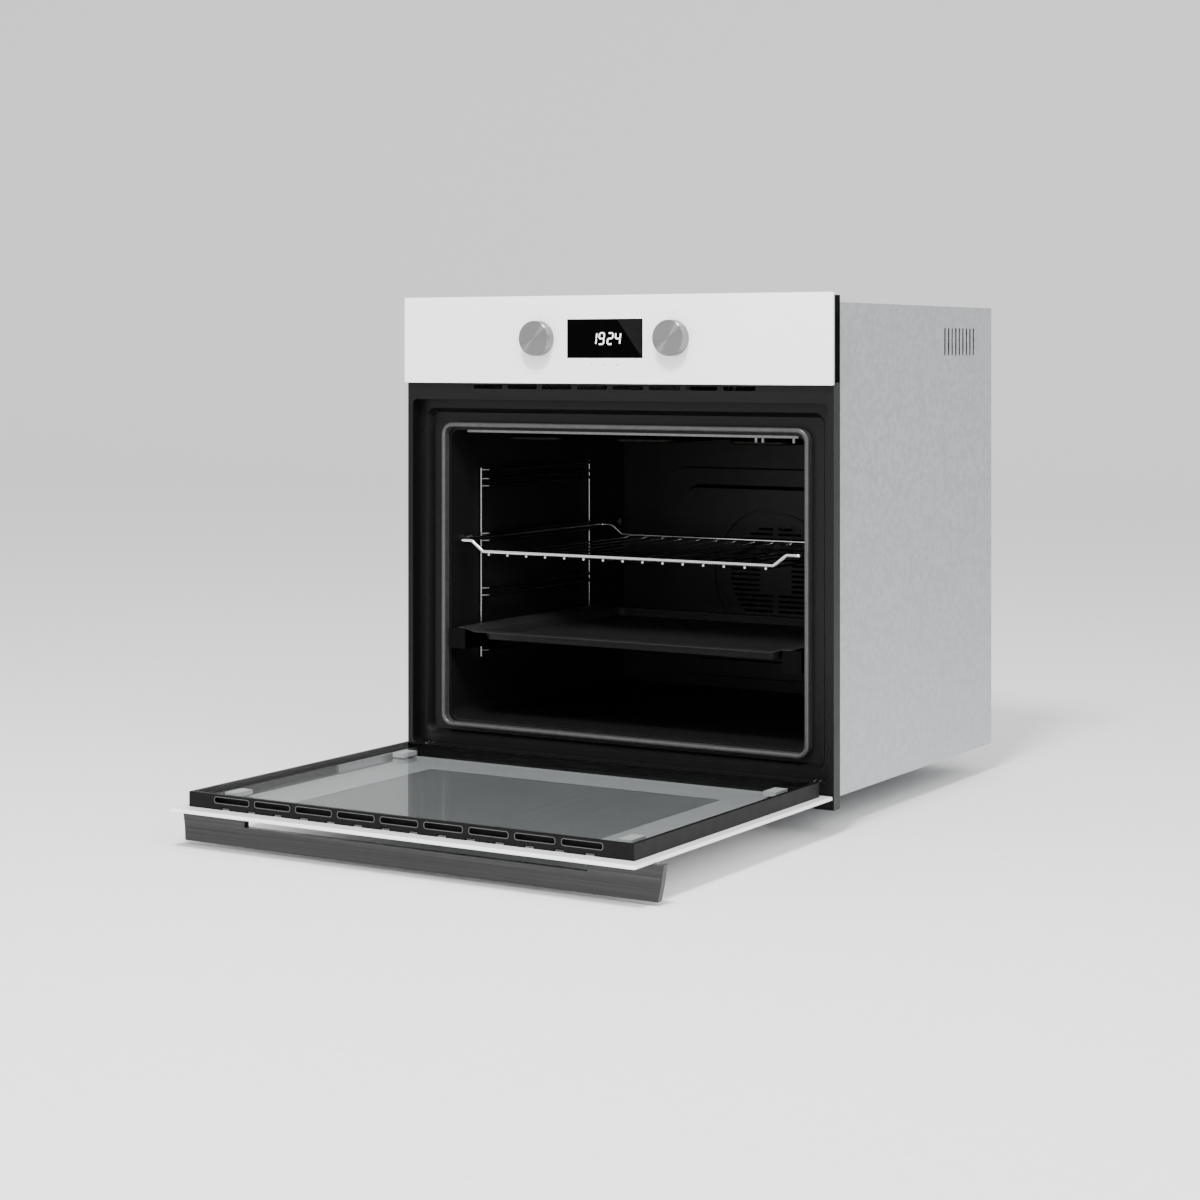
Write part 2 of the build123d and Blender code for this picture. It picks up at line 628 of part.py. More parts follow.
def door_strips():
    """The vent strip along the door's free edge and the strip along its hinge edge."""
    with BuildPart() as vent:
        block((-BODY_X, BODY_X), (BODY_Y0, BODY_Y0 + STRIP_T), (BODY_Z0, BODY_Z1))
        block(
            (-BODY_X + DOOR_WALL, BODY_X - DOOR_WALL),
            (BODY_Y0 + 2, BODY_Y0 + STRIP_T),
            (BODY_Z0, BODY_Z1 - DOOR_WALL),
            Mode.SUBTRACT,
        )
        block(
            (-INNER_X, INNER_X),
            (INNER_Y0, BODY_Y0 + STRIP_T),
            (BODY_Z1 - DOOR_WALL, BODY_Z1),
            Mode.SUBTRACT,
        )
        block(
            (-BODY_X + DOOR_WALL, BODY_X - DOOR_WALL),
            (BODY_Y0 + STRIP_T - DOOR_WALL, BODY_Y0 + STRIP_T),
            (BODY_Z0, INNER_Z - CLEAR),
        )
        with BuildSketch(at_depth(BODY_Y0)):
            with Locations((0, BODY_Z1 - 6.2)):
                with GridLocations(DOOR_SLOT_PITCH, 1, DOOR_SLOTS, 1):
                    RectangleRounded(DOOR_SLOT_L, DOOR_SLOT_H, 2.4)
            with Locations((0, BODY_Z0 + NOTCH_H / 2)):
                with GridLocations(NOTCH_PITCH, 1, NOTCHES, 1):
                    Rectangle(NOTCH_W, NOTCH_H)
        extrude(amount=-2, mode=Mode.SUBTRACT)
    save(vent, "door_top_strip")

    with BuildPart() as lower:
        block((-BODY_X, BODY_X), (BODY_Y1 - STRIP_T, BODY_Y1), (BODY_Z0, BODY_Z1))
        block(
            (-BODY_X + DOOR_WALL, BODY_X - DOOR_WALL),
            (BODY_Y1 - STRIP_T, BODY_Y1 - DOOR_WALL),
            (BODY_Z0, BODY_Z1 - DOOR_WALL),
            Mode.SUBTRACT,
        )
        block(
            (-INNER_X, INNER_X),
            (BODY_Y1 - STRIP_T, INNER_Y1),
            (BODY_Z1 - DOOR_WALL, BODY_Z1),
            Mode.SUBTRACT,
        )
        for side in (-1, 1):
            reach = LEAF_T / 2 + CLEAR
            block(
                (side * HINGE_X - reach, side * HINGE_X + reach),
                (BODY_Y1 - DOOR_WALL, BODY_Y1),
                (BODY_Z0, INNER_Z - DOOR_WALL),
                Mode.SUBTRACT,
            )
    save(lower, "door_bottom_strip")


def handle():
    """A folded steel blade along the free edge, slotted behind the grip."""
    front = DOOR_TIP + HANDLE_BACK
    tip_z = DOOR_Z - HANDLE_OUT
    fold_z = DOOR_Z - HANDLE_BEND
    with BuildPart() as blade:
        with BuildSketch(side_view(-HANDLE_TOP / 2)):
            with BuildLine():
                Polyline(
                    (front, DOOR_Z),
                    (front, fold_z),
                    (front - HANDLE_LEAN, tip_z),
                    (front - HANDLE_LEAN + HANDLE_T, tip_z),
                    (front + HANDLE_T, fold_z),
                    (front + HANDLE_T, DOOR_Z),
                    close=True,
                )
            make_face()
        extrude(amount=HANDLE_TOP)
        # The two ends are cut to a slight slant
        slant = (HANDLE_TOP - HANDLE_TIP) / 2
        for side in (-1, 1):
            with BuildSketch(at_depth(front - 10)):
                with BuildLine():
                    Polyline(
                        (side * HANDLE_TOP / 2, DOOR_Z),
                        (side * (HANDLE_TOP / 2 - slant), tip_z),
                        (side * (HANDLE_TOP / 2 + 10), tip_z),
                        (side * (HANDLE_TOP / 2 + 10), DOOR_Z),
                        close=True,
                    )
                make_face()
            extrude(amount=-30, mode=Mode.SUBTRACT)
        block(
            (-HANDLE_SLOT_L / 2, HANDLE_SLOT_L / 2),
            (front - 1, front + HANDLE_T + 1),
            (DOOR_Z - HANDLE_SLOT_H, DOOR_Z),
            Mode.SUBTRACT,
        )
        for x in (-HANDLE_SCREW_X, HANDLE_SCREW_X):
            centre = (x, front + HANDLE_T / 2)
            rod(Plane.XY.offset(DOOR_Z), centre, HANDLE_SCREW_R + SHAFT_FIT, -14, Mode.SUBTRACT)
    save(blade, "door_handle")

    with BuildPart() as screws:
        for x in (-HANDLE_SCREW_X, HANDLE_SCREW_X):
            rod(Plane.XY.offset(BODY_Z0), (x, front + HANDLE_T / 2), 4.4, 3.0)
            rod(Plane.XY.offset(BODY_Z0), (x, front + HANDLE_T / 2), HANDLE_SCREW_R, -GLASS_T - 12)
    save(screws, "handle_screws")


def hinges():
    """Arms that reach out of the flange, leaves inside the door and the pins between."""
    arm_in = LEAF_T / 2 + LEAF_GAP
    with BuildPart() as arms:
        for side in (-1, 1):
            for offset in (-arm_in - ARM_T, arm_in):
                x = side * HINGE_X + offset
                with BuildSketch(side_view(x)):
                    with Locations((HINGE_Y, HINGE_Z)):
                        Circle(EYE_R)
                    with BuildLine():
                        Polyline(
                            (HINGE_Y, HINGE_Z - EYE_R),
                            (-4, HINGE_Z - EYE_R),
                            (42, HINGE_Z - EYE_R),
                            (42, HINGE_Z + 13),
                            (-4, HINGE_Z + 13),
                            (HINGE_Y + 4.5, HINGE_Z + 9),
                            (HINGE_Y + 0.5, HINGE_Z + 4.3),
                            close=True,
                        )
                    make_face()
                    with Locations((HINGE_Y, HINGE_Z)):
                        Circle(PIN_R, mode=Mode.SUBTRACT)
                extrude(amount=ARM_T)
            block(
                (side * HINGE_X - arm_in, side * HINGE_X + arm_in),
                (30, 42),
                (HINGE_Z - EYE_R, HINGE_Z + 13),
            )
            # Foot on the base panel
            block(
                (side * HINGE_X - arm_in - ARM_T, side * HINGE_X + arm_in + ARM_T),
                (12, 42),
                (SHEET, HINGE_Z - EYE_R),
            )
    save(arms, "hinge_arms")

    with BuildPart() as pins:
        for side in (-1, 1):
            x = side * HINGE_X
            rod(side_view(x - arm_in - ARM_T), (HINGE_Y, HINGE_Z), PIN_R, 2 * (arm_in + ARM_T))
    save(pins, "hinge_pins")

    top = INNER_Z - DOOR_WALL - CLEAR
    with BuildPart() as leaves:
        for side in (-1, 1):
            x = side * HINGE_X - LEAF_T / 2
            with BuildSketch(side_view(x)):
                with Locations((HINGE_Y, HINGE_Z)):
                    Circle(EYE_R)
                with BuildLine():
                    Polyline(
                        (HINGE_Y, HINGE_Z + EYE_R),
                        (DOOR_Y - 6, top),
                        (DOOR_Y - DOOR_REAR - LEAF_LENGTH, top),
                        (DOOR_Y - DOOR_REAR - LEAF_LENGTH, BODY_Z0 + DOOR_WALL),
                        (BODY_Y1 - STRIP_T, BODY_Z0 + DOOR_WALL),
                        (BODY_Y1 - STRIP_T, BODY_Z0),
                        (DOOR_Y, BODY_Z0),
                        (HINGE_Y - EYE_R + 0.4, HINGE_Z - 1.5),
                        (HINGE_Y, HINGE_Z),
                        close=True,
                    )
                make_face()
                with Locations((HINGE_Y, HINGE_Z)):
                    Circle(PIN_R + PIN_FIT, mode=Mode.SUBTRACT)
            extrude(amount=LEAF_T)
    save(leaves, "hinge_leaves")


# ---------------------------------------------------------------- inside the cavity
def racks():
    """Chromed wire racks that hang on studs in the side walls."""
    stud_z = SHELF_Z
    wall = CAVITY_W / 2
    for side, label in ((-1, "side_rack_left"), (1, "side_rack_right")):
        up, ledge = side * RACK_X, side * LEDGE_X
        with BuildPart() as rack:
            for y in (RACK_FRONT, RACK_REAR):
                wire([(up, y, RACK_LOW), (up, y, RACK_HIGH)], RACK_R, 0)
            heights = [RACK_HIGH - 2.5]
            for level in range(LEDGES):
                low = LEDGE_FIRST + level * LEDGE_PITCH
                heights += [low, low + LEDGE_GAP]
            for z in heights:
                points = [
                    (up, RACK_FRONT, z),
                    (ledge, RACK_FRONT + 9, z),
                    (ledge, RACK_REAR - 9, z),
                    (up, RACK_REAR, z),
                ]
                wire(points, LEDGE_R, 4.0)
            # Rings that hook over the studs
            for y0, y1 in ((RACK_FRONT, STUD_FRONT), (RACK_REAR, STUD_REAR)):
                sign = 1 if y1 > y0 else -1
                wire([(up, y0, stud_z), (up, y1 - sign * 4.6, stud_z)], LEDGE_R * 0.9, 0)
                with BuildSketch(side_view(up - 1.4)):
                    with Locations((y1, stud_z)):
                        Circle(5.6)
                        Circle(3.3, mode=Mode.SUBTRACT)
                extrude(amount=2.8)
        save(rack, label)
    with BuildPart() as studs:
        for side in (-1, 1):
            for y in (STUD_FRONT, STUD_REAR):
                rod(side_view(side * wall), (y, stud_z), 3.0, -side * 4.7)
                rod(side_view(side * (wall - 4.7)), (y, stud_z), 5.2, -side * 1.0)
    save(studs, "rack_studs")


def rails():
    """Telescopic runners: fixed, middle and carriage, one set each side."""
    for side, word in ((-1, "left"), (1, "right")):
        inner = RAIL_X - RAIL_W
        y = (RAIL_FRONT, RAIL_FRONT + RAIL_LENGTH)
        z0, z1 = RAIL_Z, RAIL_Z + RAIL_H
        with BuildPart() as fixed:
            block(mirrored(side, inner, RAIL_X), y, (z0, z1))
            block(mirrored(side, inner, RAIL_X - RAIL_T), y, (z0 + RAIL_T, z1 - RAIL_T), Mode.SUBTRACT)
            # Clips over the lowest ledge
            for at in (0.25, 0.75):
                mid = RAIL_FRONT + at * RAIL_LENGTH
                reach = LEDGE_X + LEDGE_R + CLEAR + 1.2
                block(mirrored(side, RAIL_X - RAIL_T, reach), (mid - 9, mid + 9), (z0 + 3.0, z0 + 4.2))
                block(mirrored(side, reach - 1.2, reach), (mid - 9, mid + 9), (z0 - 6, z0 + 4.2))
        save(fixed, f"rail_fixed_{word}")

        step = RAIL_T + RAIL_FIT
        with BuildPart() as middle:
            block(mirrored(side, inner + 1.0, RAIL_X - step), y, (z0 + step, z1 - step))
            block(
                mirrored(side, inner + 1.0, RAIL_X - step - RAIL_T),
                y,
                (z0 + step + RAIL_T, z1 - step - RAIL_T),
                Mode.SUBTRACT,
            )
        save(middle, f"rail_middle_{word}")

        gap = 2 * step
        with BuildPart() as carriage:
            block(mirrored(side, inner - 2.0, RAIL_X - gap), y, (z0 + gap, z1 - gap))
            block(mirrored(side, inner - 2.0, inner - 0.8), y, (z0 + gap, TRAY_Z - CLEAR))
            block(mirrored(side, inner - 2.0, RAIL_X), y, (TRAY_Z - CLEAR - RAIL_T, TRAY_Z - CLEAR))
            # Front stop, wider than the rail
            block(
                mirrored(side, inner - 2.0, CAVITY_W / 2 - 1.0),
                (RAIL_FRONT - 6.0, RAIL_FRONT - CLEAR),
                (RAIL_Z + 1, TRAY_Z - CLEAR),
            )
            block(
                mirrored(side, inner - 2.0, inner - 0.8),
                (RAIL_FRONT - 2, RAIL_FRONT),
                (z0 + gap, TRAY_Z - CLEAR),
            )
        save(carriage, f"rail_carriage_{word}")


def wire_shelf():
    """The chromed shelf: a bent frame wire with rods from front to back."""
    low = SHELF_Z - SHELF_DROP
    back = SHELF_FRONT + SHELF_DEPTH
    flat = SHELF_X - 35.0
    with BuildPart() as shelf:
        for x in (-SHELF_X, SHELF_X):
            wire([(x, SHELF_FRONT + 8, SHELF_Z), (x, back - 8, SHELF_Z)], SHELF_R, 0)
        for y, inward in ((SHELF_FRONT, 8), (back, -8)):
            points = [
                (-SHELF_X, y + inward, SHELF_Z),
                (-SHELF_X, y, SHELF_Z),
                (-SHELF_X + 18, y, SHELF_Z),
                (-flat, y, low),
                (flat, y, low),
                (SHELF_X - 18, y, SHELF_Z),
                (SHELF_X, y, SHELF_Z),
                (SHELF_X, y + inward, SHELF_Z),
            ]
            wire(points, SHELF_R, 5.0)
        rod_z = low - SHELF_R - SHELF_ROD_R + 0.4
        first = -(SHELF_RODS - 1) / 2 * SHELF_ROD_PITCH
        for index in range(SHELF_RODS):
            x = first + index * SHELF_ROD_PITCH
            wire([(x, SHELF_FRONT - 2, rod_z), (x, back + 2, rod_z)], SHELF_ROD_R, 0)
    save(shelf, "wire_shelf")


def baking_tray():
    """The shallow enamelled tray: raised side rims, dipped front and rear rims."""
    half = TRAY_W / 2
    z = TRAY_Z
    opening = half - TRAY_RIM - 14
    y0, y1 = TRAY_FRONT, TRAY_FRONT + TRAY_DEPTH
    rim = [
        (-half, z),
        (-half + TRAY_RIM, z),
        (-opening, z - TRAY_DIP),
        (opening, z - TRAY_DIP),
        (half - TRAY_RIM, z),
        (half, z),
    ]
    outline = rim + [(x, height + TRAY_T) for x, height in reversed(rim)]
    with BuildPart() as tray:
        with BuildSketch(at_depth(y0)):
            with BuildLine():
                Polyline(*outline, close=True)
            make_face()
        extrude(amount=-TRAY_DEPTH)
        fillet(tray.edges().filter_by(Axis.Z), 8.0)
        y_mid, inner_d = (y0 + y1) / 2, TRAY_DEPTH - 2 * TRAY_RIM
        with BuildSketch(Plane.XY.offset(z - TRAY_DIP)):
            with Locations((0, y_mid)):
                RectangleRounded(2 * opening, inner_d, 14)
        extrude(amount=-TRAY_DEEP, taper=25)
        with BuildSketch(Plane.XY.offset(z - TRAY_DIP + TRAY_T)):
            with Locations((0, y_mid)):
                RectangleRounded(2 * opening - 2 * TRAY_T, inner_d - 2 * TRAY_T, 13)
        extrude(amount=-TRAY_DEEP, taper=25, mode=Mode.SUBTRACT)
    save(tray, "baking_tray")


def fan_cover():
    """The cover in front of the convection fan, pressed in two steps, with its grille."""
    mid = (COVER_TOP + COVER_BOTTOM) / 2
    height = COVER_TOP - COVER_BOTTOM
    inset = 2 * COVER_MARGIN
    steps = ((REAR_Y, 0.0, COVER_STEP), (REAR_Y - COVER_STEP, inset, COVER_PROUD - COVER_STEP))
    with BuildPart() as cover:
        for y, less, rise in steps:
            with BuildSketch(at_depth(y)):
                with Locations((0, mid)):
                    RectangleRounded(COVER_W - less, height - less, 34)
            extrude(amount=rise, taper=20)
        for y, less, rise in steps:
            with BuildSketch(at_depth(y)):
                with Locations((0, mid)):
                    RectangleRounded(COVER_W - less - 2 * COVER_SHEET, height - less - 2 * COVER_SHEET, 33)
            extrude(amount=rise - COVER_SHEET, taper=20, mode=Mode.SUBTRACT)
        block(
            (-110, 110),
            (REAR_Y - COVER_STEP, REAR_Y - COVER_STEP + COVER_SHEET),
            (FAN_Z - 100, FAN_Z + 100),
            Mode.SUBTRACT,
        )
        # A ring pressed into the cover round the grille
        for outer, inner, deep, mode in ((94, 84, 4, Mode.ADD), (93, 85, 3, Mode.SUBTRACT)):
            with BuildSketch(at_depth(COVER_Y)):
                with Locations((0, FAN_Z)):
                    Circle(outer)
                    Circle(inner, mode=Mode.SUBTRACT)
            extrude(amount=-deep, mode=mode)
        # Grille slots, shorter towards the top and bottom, and the plain centre
        with BuildSketch(at_depth(COVER_Y - 2)):
            for index in range(-9, 10):
                offset = index * 7.0
                reach = (68.0**2 - offset**2) ** 0.5
                centre = 24.0 if abs(offset) < 24 else 4.0
                length = reach - centre
                for side in (-1, 1):
                    with Locations((side * (centre + length / 2), FAN_Z + offset)):
                        SlotOverall(max(length, 8.0), 3.4)
        extrude(amount=-6, mode=Mode.SUBTRACT)
    save(cover, "fan_cover")


def heating():
    """Ring element round the fan, grill under the roof and the element under the floor."""
    terminal = DISH_Y + MUFFLE_T + 24
    with BuildPart() as ring:
        y = REAR_Y + 2.0
        radius = DISH_R - 14
        lead_z = FAN_Z + radius
        with BuildLine(Plane(origin=(0, y, FAN_Z), x_dir=(1, 0, 0), z_dir=(0, -1, 0))) as path:
            CenterArc((0, 0), radius, 97.6, 344.8)
        with BuildSketch(Plane(origin=path.line @ 0, z_dir=path.line % 0)):
            Circle(ELEMENT_R)
        sweep(path=path.line)
        for x in (-12, 12):
            rod(at_depth(terminal), (x, lead_z), ELEMENT_R, terminal - y)
    save(ring, "ring_element")

    front, back = 60.0, REAR_Y - 40.0
    with BuildPart() as grill:
        outer, inner, middle = GRILL_X, 0.6 * GRILL_X, 0.2 * GRILL_X
        xs = [-outer, -outer, -inner, -inner, -middle, -middle, middle, middle, inner, inner, outer, outer]
        ys = [terminal, front, front, back, back, front, front, back, back, front, front, terminal]
        points = [(x, y, GRILL_Z) for x, y in zip(xs, ys)]
        wire(points, ELEMENT_R, 18.0)
        # Hangers up to the roof
        for x in (-inner, inner):
            for y in (front + 60, back - 60):
                block((x - 4, x + 4), (y - 1, y + 1), (GRILL_Z + ELEMENT_R - 0.5, CAVITY_TOP))
    save(grill, "grill_element")

    z = CAVITY_FLOOR - MUFFLE_T - ELEMENT_R - CLEAR
    with BuildPart() as bottom:
        xs = [-30, -30, -180, -180, 180, 180, 30, 30]
        ys = [terminal, 400, 400, 90, 90, 400, 400, terminal]
        points = [(x, y, z) for x, y in zip(xs, ys)]
        wire(points, ELEMENT_R, 24.0)
    save(bottom, "bottom_element")

    with BuildPart() as trim:
        block((-TRIM_X, TRIM_X), (RECESS_Y + 14, RECESS_Y + 26), (CAVITY_TOP - 1.5, CAVITY_TOP))
        block((-TRIM_X, TRIM_X), (RECESS_Y + 14, RECESS_Y + 15.5), (CAVITY_TOP - 3.4, CAVITY_TOP))
        for x in (TRIM_X - 55.4, TRIM_X - 46.4, TRIM_X - 6.0):
            block((x - 1.5, x + 1.5), (RECESS_Y + 14, RECESS_Y + 16), (CAVITY_TOP - 9.0, CAVITY_TOP))
    save(trim, "roof_trim")


def convection_fan():
    """The fan wheel in the dish, with the motor behind the cavity."""
    with BuildPart() as wheel:
        y0 = COVER_Y + 4.0
        rod(at_depth(y0 + FAN_T), (0, FAN_Z), FAN_R, 1.2)
        with BuildSketch(at_depth(y0 + FAN_T - 1.2)):
            with Locations((0, FAN_Z)):
                with PolarLocations(FAN_R - 14, FAN_BLADES):
                    Rectangle(26, 1.2, rotation=18)
        extrude(amount=FAN_T - 1.2)
        rod(at_depth(y0 + FAN_T), (0, FAN_Z), 9.0, FAN_T)
        rod(at_depth(DISH_Y + MUFFLE_T + 22), (0, FAN_Z), 4.0, DISH_Y + MUFFLE_T + 22 - y0)
    save(wheel, "convection_fan_wheel")

    with BuildPart() as motor:
        y0 = DISH_Y + MUFFLE_T
        block((-MOTOR_R, MOTOR_R), (y0, y0 + 2), (FAN_Z - 10, FAN_Z + 10))
        rod(at_depth(y0 + 50), (0, FAN_Z), MOTOR_R, 46)
        rod(at_depth(y0 + 4), (0, FAN_Z), 16, 4)
        rod(at_depth(y0 + 24), (0, FAN_Z), 4.0 + SHAFT_FIT, 24, Mode.SUBTRACT)
    save(motor, "convection_motor")


def lamp_and_probe():
    """The oven lamp in the rear wall and the temperature probe beside it."""
    back = REAR_Y + MUFFLE_T
    with BuildPart() as holder:
        rod(at_depth(back + 26), (LAMP_X, LAMP_Z), LAMP_R, 26 + MUFFLE_T)
        rod(at_depth(back + 4), (LAMP_X, LAMP_Z), LAMP_R + 2.4, 4)
        rod(at_depth(back + 12), (LAMP_X, LAMP_Z), 15, 12 + MUFFLE_T, Mode.SUBTRACT)
    save(holder, "lamp_holder")
    with BuildPart() as bulb:
        rod(at_depth(back + 12), (LAMP_X, LAMP_Z), 6.0, 6)
        rod(at_depth(back + 6), (LAMP_X, LAMP_Z), 9.0, 14)
        fillet(bulb.edges().filter_by(GeomType.CIRCLE).sort_by(Axis.Y)[0], 6)
    save(bulb, "lamp_bulb")
    with BuildPart() as cover:
        rod(at_depth(REAR_Y), (LAMP_X, LAMP_Z), LAMP_R + 4, 13)
        fillet(cover.edges().filter_by(GeomType.CIRCLE).sort_by(Axis.Y)[0], 7)
        rod(at_depth(REAR_Y), (LAMP_X, LAMP_Z), LAMP_R - 1, 10.5, Mode.SUBTRACT)
    save(cover, "lamp_glass")
    with BuildPart() as probe:
        rod(at_depth(back + 14), (LAMP_X - 60, LAMP_Z), 2.0, 14 + MUFFLE_T + 70)
        rod(at_depth(back + 2), (LAMP_X - 60, LAMP_Z), 4.5, 2)
    save(probe, "temperature_probe")


# ---------------------------------------------------------------- above the cavity
def cooling():
    """The duct to the front slots, and the fan that blows through it."""
    duct_front, duct_back = 0, COOLER_Y - COOLER_R - 14
    with BuildPart() as duct:
        block((-DUCT_W / 2, DUCT_W / 2), (duct_front, duct_back), (DUCT_Z, DUCT_Z + DUCT_H))
        block(
            (-DUCT_W / 2 + SHEET, DUCT_W / 2 - SHEET),
            (duct_front, duct_back),
            (DUCT_Z + SHEET, DUCT_Z + DUCT_H - SHEET),
            Mode.SUBTRACT,
        )
    save(duct, "air_duct")

    size = COOLER_R + 12
    top = DUCT_Z + DUCT_H
    with BuildPart() as scroll:
        block((-size, size), (duct_back, COOLER_Y + size), (DUCT_Z, top))
        block(
            (-size + SHEET, size - SHEET),
            (duct_back, COOLER_Y + size - SHEET),
            (DUCT_Z + SHEET, top - SHEET),
            Mode.SUBTRACT,
        )
        rod(Plane.XY.offset(top), (0, COOLER_Y), COOLER_R - 20, -SHEET, Mode.SUBTRACT)
        # Feet on the blanket's top
        for x in (-1, 1):
            block(
                (x * size - 4, x * size + 4),
                (COOLER_Y - 10, COOLER_Y + 10),
                (CAVITY_TOP + MUFFLE_T + 1 + INSULATION_T, DUCT_Z),
            )
    save(scroll, "cooling_fan_housing")

    with BuildPart() as wheel:
        z0 = DUCT_Z + SHEET + 1.0
        rod(Plane.XY.offset(z0), (0, COOLER_Y), COOLER_R, 1.0)
        with BuildSketch(Plane.XY.offset(z0 + 1.0)):
            with Locations((0, COOLER_Y)):
                with PolarLocations(COOLER_R - 5, 30):
                    Rectangle(9, 0.9, rotation=35)
        extrude(amount=COOLER_H - 3.0)
        rod(Plane.XY.offset(z0), (0, COOLER_Y), 8.0, 14)
        rod(Plane.XY.offset(z0), (0, COOLER_Y), 3.0, 44)
    save(wheel, "cooling_fan_wheel")

    with BuildPart() as motor:
        for x in (-1, 1):
            block((x * 46 - 6, x * 46 + 6), (COOLER_Y - 8, COOLER_Y + 8), (top, top + 4))
        block((-52, 52), (COOLER_Y - 8, COOLER_Y + 8), (top + 4, top + 6))
        rod(Plane.XY.offset(top + 6), (0, COOLER_Y), 30, 32)
        rod(Plane.XY.offset(top + 4), (0, COOLER_Y), 3.0 + SHAFT_FIT, 16, Mode.SUBTRACT)
    save(motor, "cooling_fan_motor")


def wiring():
    """The terminal block, the cable gland and the safety thermostat."""
    rear = HOUSING_DEPTH
    with BuildPart() as terminal:
        block((GLAND_X - 34, GLAND_X + 34), (rear - 40, rear - 14), (GLAND_Z - 14, GLAND_Z + 16))
        block((GLAND_X - 34, GLAND_X + 34), (rear - 14, rear), (GLAND_Z + 11, GLAND_Z + 16))
        for index in range(5):
            x = GLAND_X - 24 + 12 * index
            rod(Plane.XY.offset(GLAND_Z + 16), (x, rear - 27), 3.2, -6, Mode.SUBTRACT)
    save(terminal, "terminal_block")
    with BuildPart() as gland:
        rod(at_depth(rear + SHEET + 9), (GLAND_X, GLAND_Z), GLAND_R + 6, 9)
        rod(at_depth(rear + SHEET), (GLAND_X, GLAND_Z), GLAND_R + 3.7, SHEET + 6)
        rod(at_depth(rear + SHEET + 9), (GLAND_X, GLAND_Z), GLAND_R, 9 + SHEET + 6, Mode.SUBTRACT)
    save(gland, "cable_gland")
    with BuildPart() as thermostat:
        z0 = CAVITY_TOP + MUFFLE_T + 1 + INSULATION_T
        rod(Plane.XY.offset(z0), (-150, COOLER_Y), 9, 10)
        block((-170, -130), (COOLER_Y - 6, COOLER_Y + 6), (z0, z0 + 1.2))
    save(thermostat, "safety_thermostat")


os.makedirs("parts", exist_ok=True)
front_frame()
cavity_muffle()
door_gasket()
housing()
insulation()
control_panel()
door_glass()
door_sides()
door_strips()
handle()
hinges()
racks()
rails()
wire_shelf()
baking_tray()
fan_cover()
heating()
convection_fan()
lamp_and_probe()
cooling()
wiring()
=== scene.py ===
# %% [markdown]
# # A built-in wall oven
#
# The oven is shown with its door let down, its wire shelf and baking tray inside.
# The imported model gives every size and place. This lesson adds the looks: the
# finishes, the printed glass, the lit clock, the brushed knobs and the light.
# Lengths are in metres: X to the right, Y into the oven, Z up.

import json
import math

import bmesh
import bpy
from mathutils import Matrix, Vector


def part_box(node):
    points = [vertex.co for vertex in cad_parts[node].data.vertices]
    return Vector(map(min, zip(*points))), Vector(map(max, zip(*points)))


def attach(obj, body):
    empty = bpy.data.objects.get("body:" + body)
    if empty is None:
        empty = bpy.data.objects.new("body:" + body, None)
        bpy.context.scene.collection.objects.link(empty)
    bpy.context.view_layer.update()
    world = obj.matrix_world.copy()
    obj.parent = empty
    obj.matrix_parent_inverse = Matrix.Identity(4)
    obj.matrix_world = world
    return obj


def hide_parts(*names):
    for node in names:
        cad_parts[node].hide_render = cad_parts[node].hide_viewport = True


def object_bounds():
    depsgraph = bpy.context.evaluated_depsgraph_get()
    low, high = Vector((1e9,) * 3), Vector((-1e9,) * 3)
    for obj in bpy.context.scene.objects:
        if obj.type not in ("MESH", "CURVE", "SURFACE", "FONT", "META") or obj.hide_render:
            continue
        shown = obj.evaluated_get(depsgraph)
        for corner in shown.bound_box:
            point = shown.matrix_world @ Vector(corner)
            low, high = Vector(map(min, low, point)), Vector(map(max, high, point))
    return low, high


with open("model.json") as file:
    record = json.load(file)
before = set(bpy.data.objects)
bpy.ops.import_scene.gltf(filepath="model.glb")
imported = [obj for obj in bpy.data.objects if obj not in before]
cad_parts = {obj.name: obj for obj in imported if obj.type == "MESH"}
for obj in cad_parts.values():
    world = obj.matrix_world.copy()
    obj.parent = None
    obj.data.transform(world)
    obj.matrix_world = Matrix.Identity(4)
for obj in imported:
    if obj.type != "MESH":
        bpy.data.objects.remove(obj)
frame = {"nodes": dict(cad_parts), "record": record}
nodes = frame["nodes"]
cad_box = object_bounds()
print("CAD nodes:", len(nodes))

# %% [markdown]
# ## The camera
#
# A long lens, level, to the right of the door. The shift keeps the uprights
# parallel and puts the oven in the middle of the picture.

# %%
camera_data = bpy.data.cameras.new("view")
camera_data.sensor_width = 36.0
camera_data.lens = 75.37
camera_data.shift_x = 0.0833
camera_data.shift_y = -0.2043
camera_data.clip_end = 60.0
camera = bpy.data.objects.new("view", camera_data)
camera.location = (1.5175, -2.6531, 0.5153)
camera.rotation_euler = (math.radians(90.0), 0.0, math.radians(32.43))
bpy.context.scene.collection.objects.link(camera)
bpy.context.scene.camera = camera
print("camera at", tuple(camera.location))

# %% [markdown]
# ## Colours and shader nodes
#
# Colours are written as they look on a screen and turned into the linear values
# that the renderer adds up. One small function adds a shader node.

# %%
def linear(code):
    """An RRGGBB screen colour as linear red, green, blue and alpha."""
    values = []
    for start in (0, 2, 4):
        share = int(code[start:start + 2], 16) / 255.0
        values.append(share / 12.92 if share <= 0.04045 else ((share + 0.055) / 1.055) ** 2.4)
    return (*values, 1.0)


def add_node(tree, kind, inputs=None, **settings):
    """A new shader node with its settings and unlinked input values."""
    made = tree.nodes.new(kind)
    for key, value in settings.items():
        setattr(made, key, value)
    for key, value in (inputs or {}).items():
        made.inputs[key].default_value = value
    return made


print("white is", linear("ffffff"))

